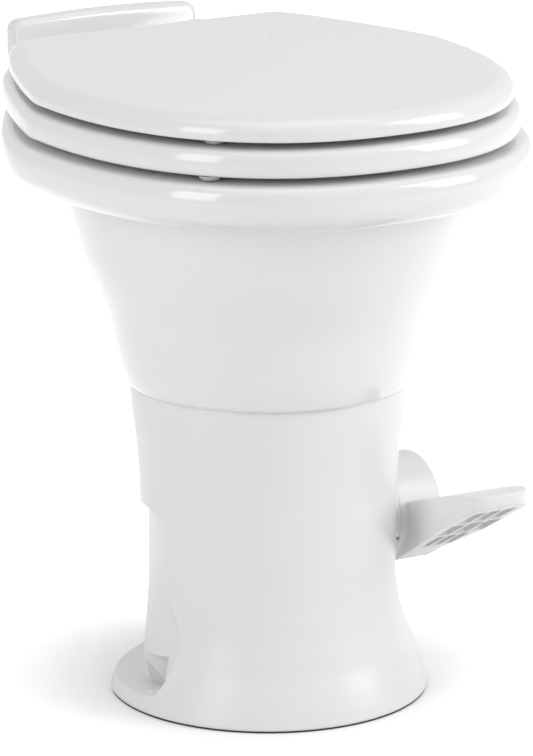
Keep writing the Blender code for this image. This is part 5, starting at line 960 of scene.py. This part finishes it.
cap_shape.free()
settle(cap, moulding, "white_moulding", "toilet", "breaker_cap", sharp=30)

# The inlet nozzle: a white moulded tube with a flange that lies on the casting behind the bowl. It leads
# the rinse water from the breaker through the wall.
NOZZLE_SEAT = 0.1487
nozzle_line = (
    (0.0055, 0.128), (0.0084, 0.128), (0.0090, 0.1286), (0.0090, NOZZLE_SEAT), (0.0135, NOZZLE_SEAT),
    (0.0140, NOZZLE_SEAT + 0.0005), (0.0140, NOZZLE_SEAT + 0.0023), (0.0133, NOZZLE_SEAT + 0.0030),
    (0.0100, NOZZLE_SEAT + 0.0030), (0.0092, NOZZLE_SEAT + 0.0036), (0.0090, NOZZLE_SEAT + 0.0046), (0.0090, BREAKER_Y - 0.0003),
    (0.0055, BREAKER_Y - 0.0003),
)
nozzle = spun("inlet_nozzle", nozzle_line, (0, 1, 0), (0, 0, 0.347), 64)
settle(nozzle, moulding, "white_moulding", "toilet", "bowl_inlet", sharp=35)

# The hinge posts: white mouldings, each a foot plate and a pillar with a barrel for the pin. A bolt
# through the deck holds each one, with a grey wing nut below.
dress(grey_moulding, "hinge_wing_nut_left", "hinge_wing_nut_right")
HINGE_Y, HINGE_Z, POST_HALF = 0.2120, 0.4620, 0.008
POST_FOOT, POST_PLATE_TOP = 0.4363, 0.4413


def soften(item, width, crease):
    """Bevel the sharp edges of a piece."""
    shape = bmesh.new()
    shape.from_mesh(item.data)
    bmesh.ops.bevel(
        shape, geom=[edge for edge in shape.edges if edge.calc_face_angle(0.0) > crease], offset=width,
        affect="EDGES", segments=3, profile=0.5, material=-1, clamp_overlap=True,
    )
    shape.to_mesh(item.data)
    shape.free()
    return item


for label, side in (("left", -1), ("right", 1)):
    x = side * HINGE_X
    plate = ((x - 0.016, 0.1995), (x + 0.016, 0.1995), (x + 0.016, 0.2325), (x - 0.016, 0.2325))
    post = soften(extruded(f"hinge_pillar_{label}", plate, flat_plan, POST_FOOT, POST_PLATE_TOP), 0.0016, 1.0)
    pillar_line = ((0.2020, POST_FOOT + 0.002), (0.2220, POST_FOOT + 0.002), (0.2208, 0.4480), (0.2205, HINGE_Z), (0.2035, HINGE_Z),
                   (0.2032, 0.4480))
    pillar = extruded("pillar", pillar_line, across_plan, x - POST_HALF, x + POST_HALF)
    carve(post, soften(pillar, 0.0010, 1.0), way="UNION")
    low, high, edge = x - POST_HALF, x + POST_HALF, 0.0008
    carve(post, spun(
        "post_barrel",
        ((0, low), (0.010 - edge, low), (0.010, low + edge), (0.010, high - edge), (0.010 - edge, high), (0, high)),
        (1, 0, 0), (0, HINGE_Y, HINGE_Z), 48,
    ), way="UNION")
    bolt_room = ((0, 0.43), (0.0033, 0.43), (0.0033, 0.4364), (0.0056, 0.4364), (0.0056, 0.4445), (0, 0.4445))
    carve(
        post,
        spun("pin_bore", ((0, low - 0.004), (0.0038, low - 0.004), (0.0038, high + 0.004), (0, high + 0.004)), (1, 0, 0),
             (0, HINGE_Y, HINGE_Z), 24),
        spun("bolt_bore", bolt_room, (0, 0, 1), (x, HINGE_BOLT_Y, 0), 32),
    )
    settle(post, moulding, "white_moulding", "toilet", f"hinge_post_{label}", sharp=35)

# The seat: a ring pressed from wood fibre and resin under thick white enamel, rounded over on both sides.
# Two flat knuckles at its back turn on the hinge pins, outside the posts.
ENAMEL = (0.812, 0.817, 0.818, 1.0)
ENAMEL_SHADE = (0.800, 0.806, 0.808, 1.0)
SEAT_BOTTOM, SEAT_THICK, SEAT_OVERHANG = 0.441, 0.020, 0.0054
enamel = make_finish(
    "white seat enamel", (ENAMEL, ENAMEL_SHADE), 8.0, (0.13, 0.05), (130.0, 0.000012), (1500.0, 0.000004),
    Coat_Weight=0.5, Coat_Roughness=0.06, IOR=1.5,
)
lid_plan = plan_outline(LID_HALF_WIDTH, LID_FRONT, 0.1160, 0.1914, 0.015, 0.0364, 0.6, 0.018)


def grow_outline(points, margin):
    """Move each point of a closed outline outwards along its normal; a minus margin shrinks it."""
    grown = []
    for i, (x, y) in enumerate(points):
        before, after = points[i - 1], points[(i + 1) % len(points)]
        along = Vector((after[0] - before[0], after[1] - before[1])).normalized()
        grown.append((x + along.y * margin, y - along.x * margin))
    return grown


def hinge_knuckle(name, low, high, bottom, top):
    """Flat tongue of a board, with a barrel on the hinge axis and a bore for the pin."""
    tongue = extruded(
        name, ((0.180, bottom), (HINGE_Y, bottom), (HINGE_Y, top), (0.180, top)), across_plan, low, high,
    )
    edge = 0.0008
    barrel = spun(
        "barrel", ((0, low), (0.010 - edge, low), (0.010, low + edge), (0.010, high - edge), (0.010 - edge, high), (0, high)),
        (1, 0, 0), (0, HINGE_Y, HINGE_Z), 48,
    )
    carve(tongue, barrel, way="UNION")
    return carve(tongue, spun(
        "bore", ((0, low - 0.004), (0.0038, low - 0.004), (0.0038, high + 0.004), (0, high + 0.004)), (1, 0, 0),
        (0, HINGE_Y, HINGE_Z), 24,
    ))


seat_plan = grow_outline(lid_plan, SEAT_OVERHANG)
seat_top = SEAT_BOTTOM + SEAT_THICK
OPENING = (0.108, 0.122, 0.108)
outer_line = smooth_row((
    (-0.0042, 0.0), (-0.0016, 0.0012), (-0.0004, 0.0045), (0.0, 0.0090), (-0.0003, 0.0132), (-0.0022, 0.0175),
    (-0.0065, 0.0196), (-0.0130, 0.0200),
), 4)
inner_line = smooth_row((
    (0.0130, 0.0200), (0.0070, 0.0190), (0.0022, 0.0155), (0.0, 0.0100), (0.0004, 0.0045), (0.0018, 0.0012), (0.0040, 0.0),
), 4)
seat_levels = [(grow_outline(seat_plan, inset), SEAT_BOTTOM + rise) for inset, rise in outer_line]
seat_levels += [
    (egg_ring(seat_plan, *[reach + grow for reach in OPENING]), SEAT_BOTTOM + rise) for grow, rise in inner_line
]
seat_levels.append(seat_levels[0])
seat = as_object("seat_ring", ring_shell(seat_levels, closed=True))
for side in (-1, 1):
    low, high = sorted((side * 0.0783, side * 0.0883))
    carve(seat, hinge_knuckle("seat_knuckle", low, high, 0.446, 0.456), way="UNION")
settle(seat, enamel, "white_enamel", "seat", "seat")

# The lid: a board of the same pressed and enamelled wood, with a soft edge and a barely crowned top. Its
# knuckles lie between the hinge posts. The place for a maker's sign is left bare.
LID_BOTTOM, LID_TOP = 0.466, 0.483
lid_line = smooth_row((
    (-0.0030, 0.0), (-0.0012, 0.0006), (-0.0004, 0.0025), (0.0, 0.0055), (-0.0007, 0.0085), (-0.0026, 0.0115),
    (-0.0060, 0.0143), (-0.0115, 0.0165),
), 4) + [(-0.0122, 0.01662)]
lid_levels = [(grow_outline(lid_plan, inset), LID_BOTTOM + rise) for inset, rise in lid_line]
crown_plan = grow_outline(lid_plan, -0.0135)
for share in (0.97, 0.92, 0.84, 0.72, 0.58, 0.42, 0.26, 0.12):
    crown = LID_BOTTOM + 0.0167 + (LID_TOP - LID_BOTTOM - 0.0167) * (1 - share ** 2)
    lid_levels.append(([(x * share, y * share) for x, y in crown_plan], crown))
under_levels = [([(x * share, y * share) for x, y in seat_plan], LID_BOTTOM) for share in (0.12, 0.4, 0.7, 0.93)]
lid = as_object("lid_board", ring_shell(under_levels + lid_levels))
for side in (-1, 1):
    low, high = sorted((side * 0.0517, side * 0.0617))
    carve(lid, hinge_knuckle("lid_knuckle", low, high, 0.4663, 0.476), way="UNION")
settle(lid, enamel, "white_enamel", "lid", "lid")

# Bumpers: clear soft vinyl domes whose stems are pushed into holes under the lid and the seat, so that
# the boards close quietly.
VINYL = (0.74, 0.76, 0.74, 1.0)
VINYL_CLOUD = (0.80, 0.81, 0.79, 1.0)
vinyl = make_finish(
    "clear soft vinyl", (VINYL, VINYL_CLOUD), 180.0, (0.20, 0.15), (400.0, 0.00002), (2500.0, 0.000008),
    Transmission_Weight=0.35, Subsurface_Weight=0.3, Subsurface_Scale=0.004, IOR=1.5,
)
for body, bottom, board, places in (
    ("seat", RIM_TOP + 0.0003, SEAT_BOTTOM - 0.0003, (
        ("front_left", -0.124, -0.131), ("front_right", 0.124, -0.131), ("rear_left", -0.124, 0.128), ("rear_right", 0.124, 0.128))),
    ("lid", seat_top + 0.0003, LID_BOTTOM - 0.0003, (("front_left", -0.117, -0.126), ("front_right", 0.117, -0.126))),
):
    tall = board - bottom
    dome = smooth_row((
        (0.0, 0.0), (0.0030, 0.0001), (0.0052, 0.0006), (0.0070, tall * 0.35), (0.0081, tall * 0.68), (0.0085, tall * 0.98),
    ), 4)
    for label, x, y in places:
        profile = [(radius, bottom + rise) for radius, rise in dome]
        profile += [(0.0085, board), (0.003, board), (0.003, board + 0.004), (0, board + 0.004)]
        bumper = spun(f"{body}_dome_{label}", profile, (0, 0, 1), (x, y, 0), 40)
        settle(bumper, vinyl, "soft_bumper", body, f"{body}_bumper_{label}")
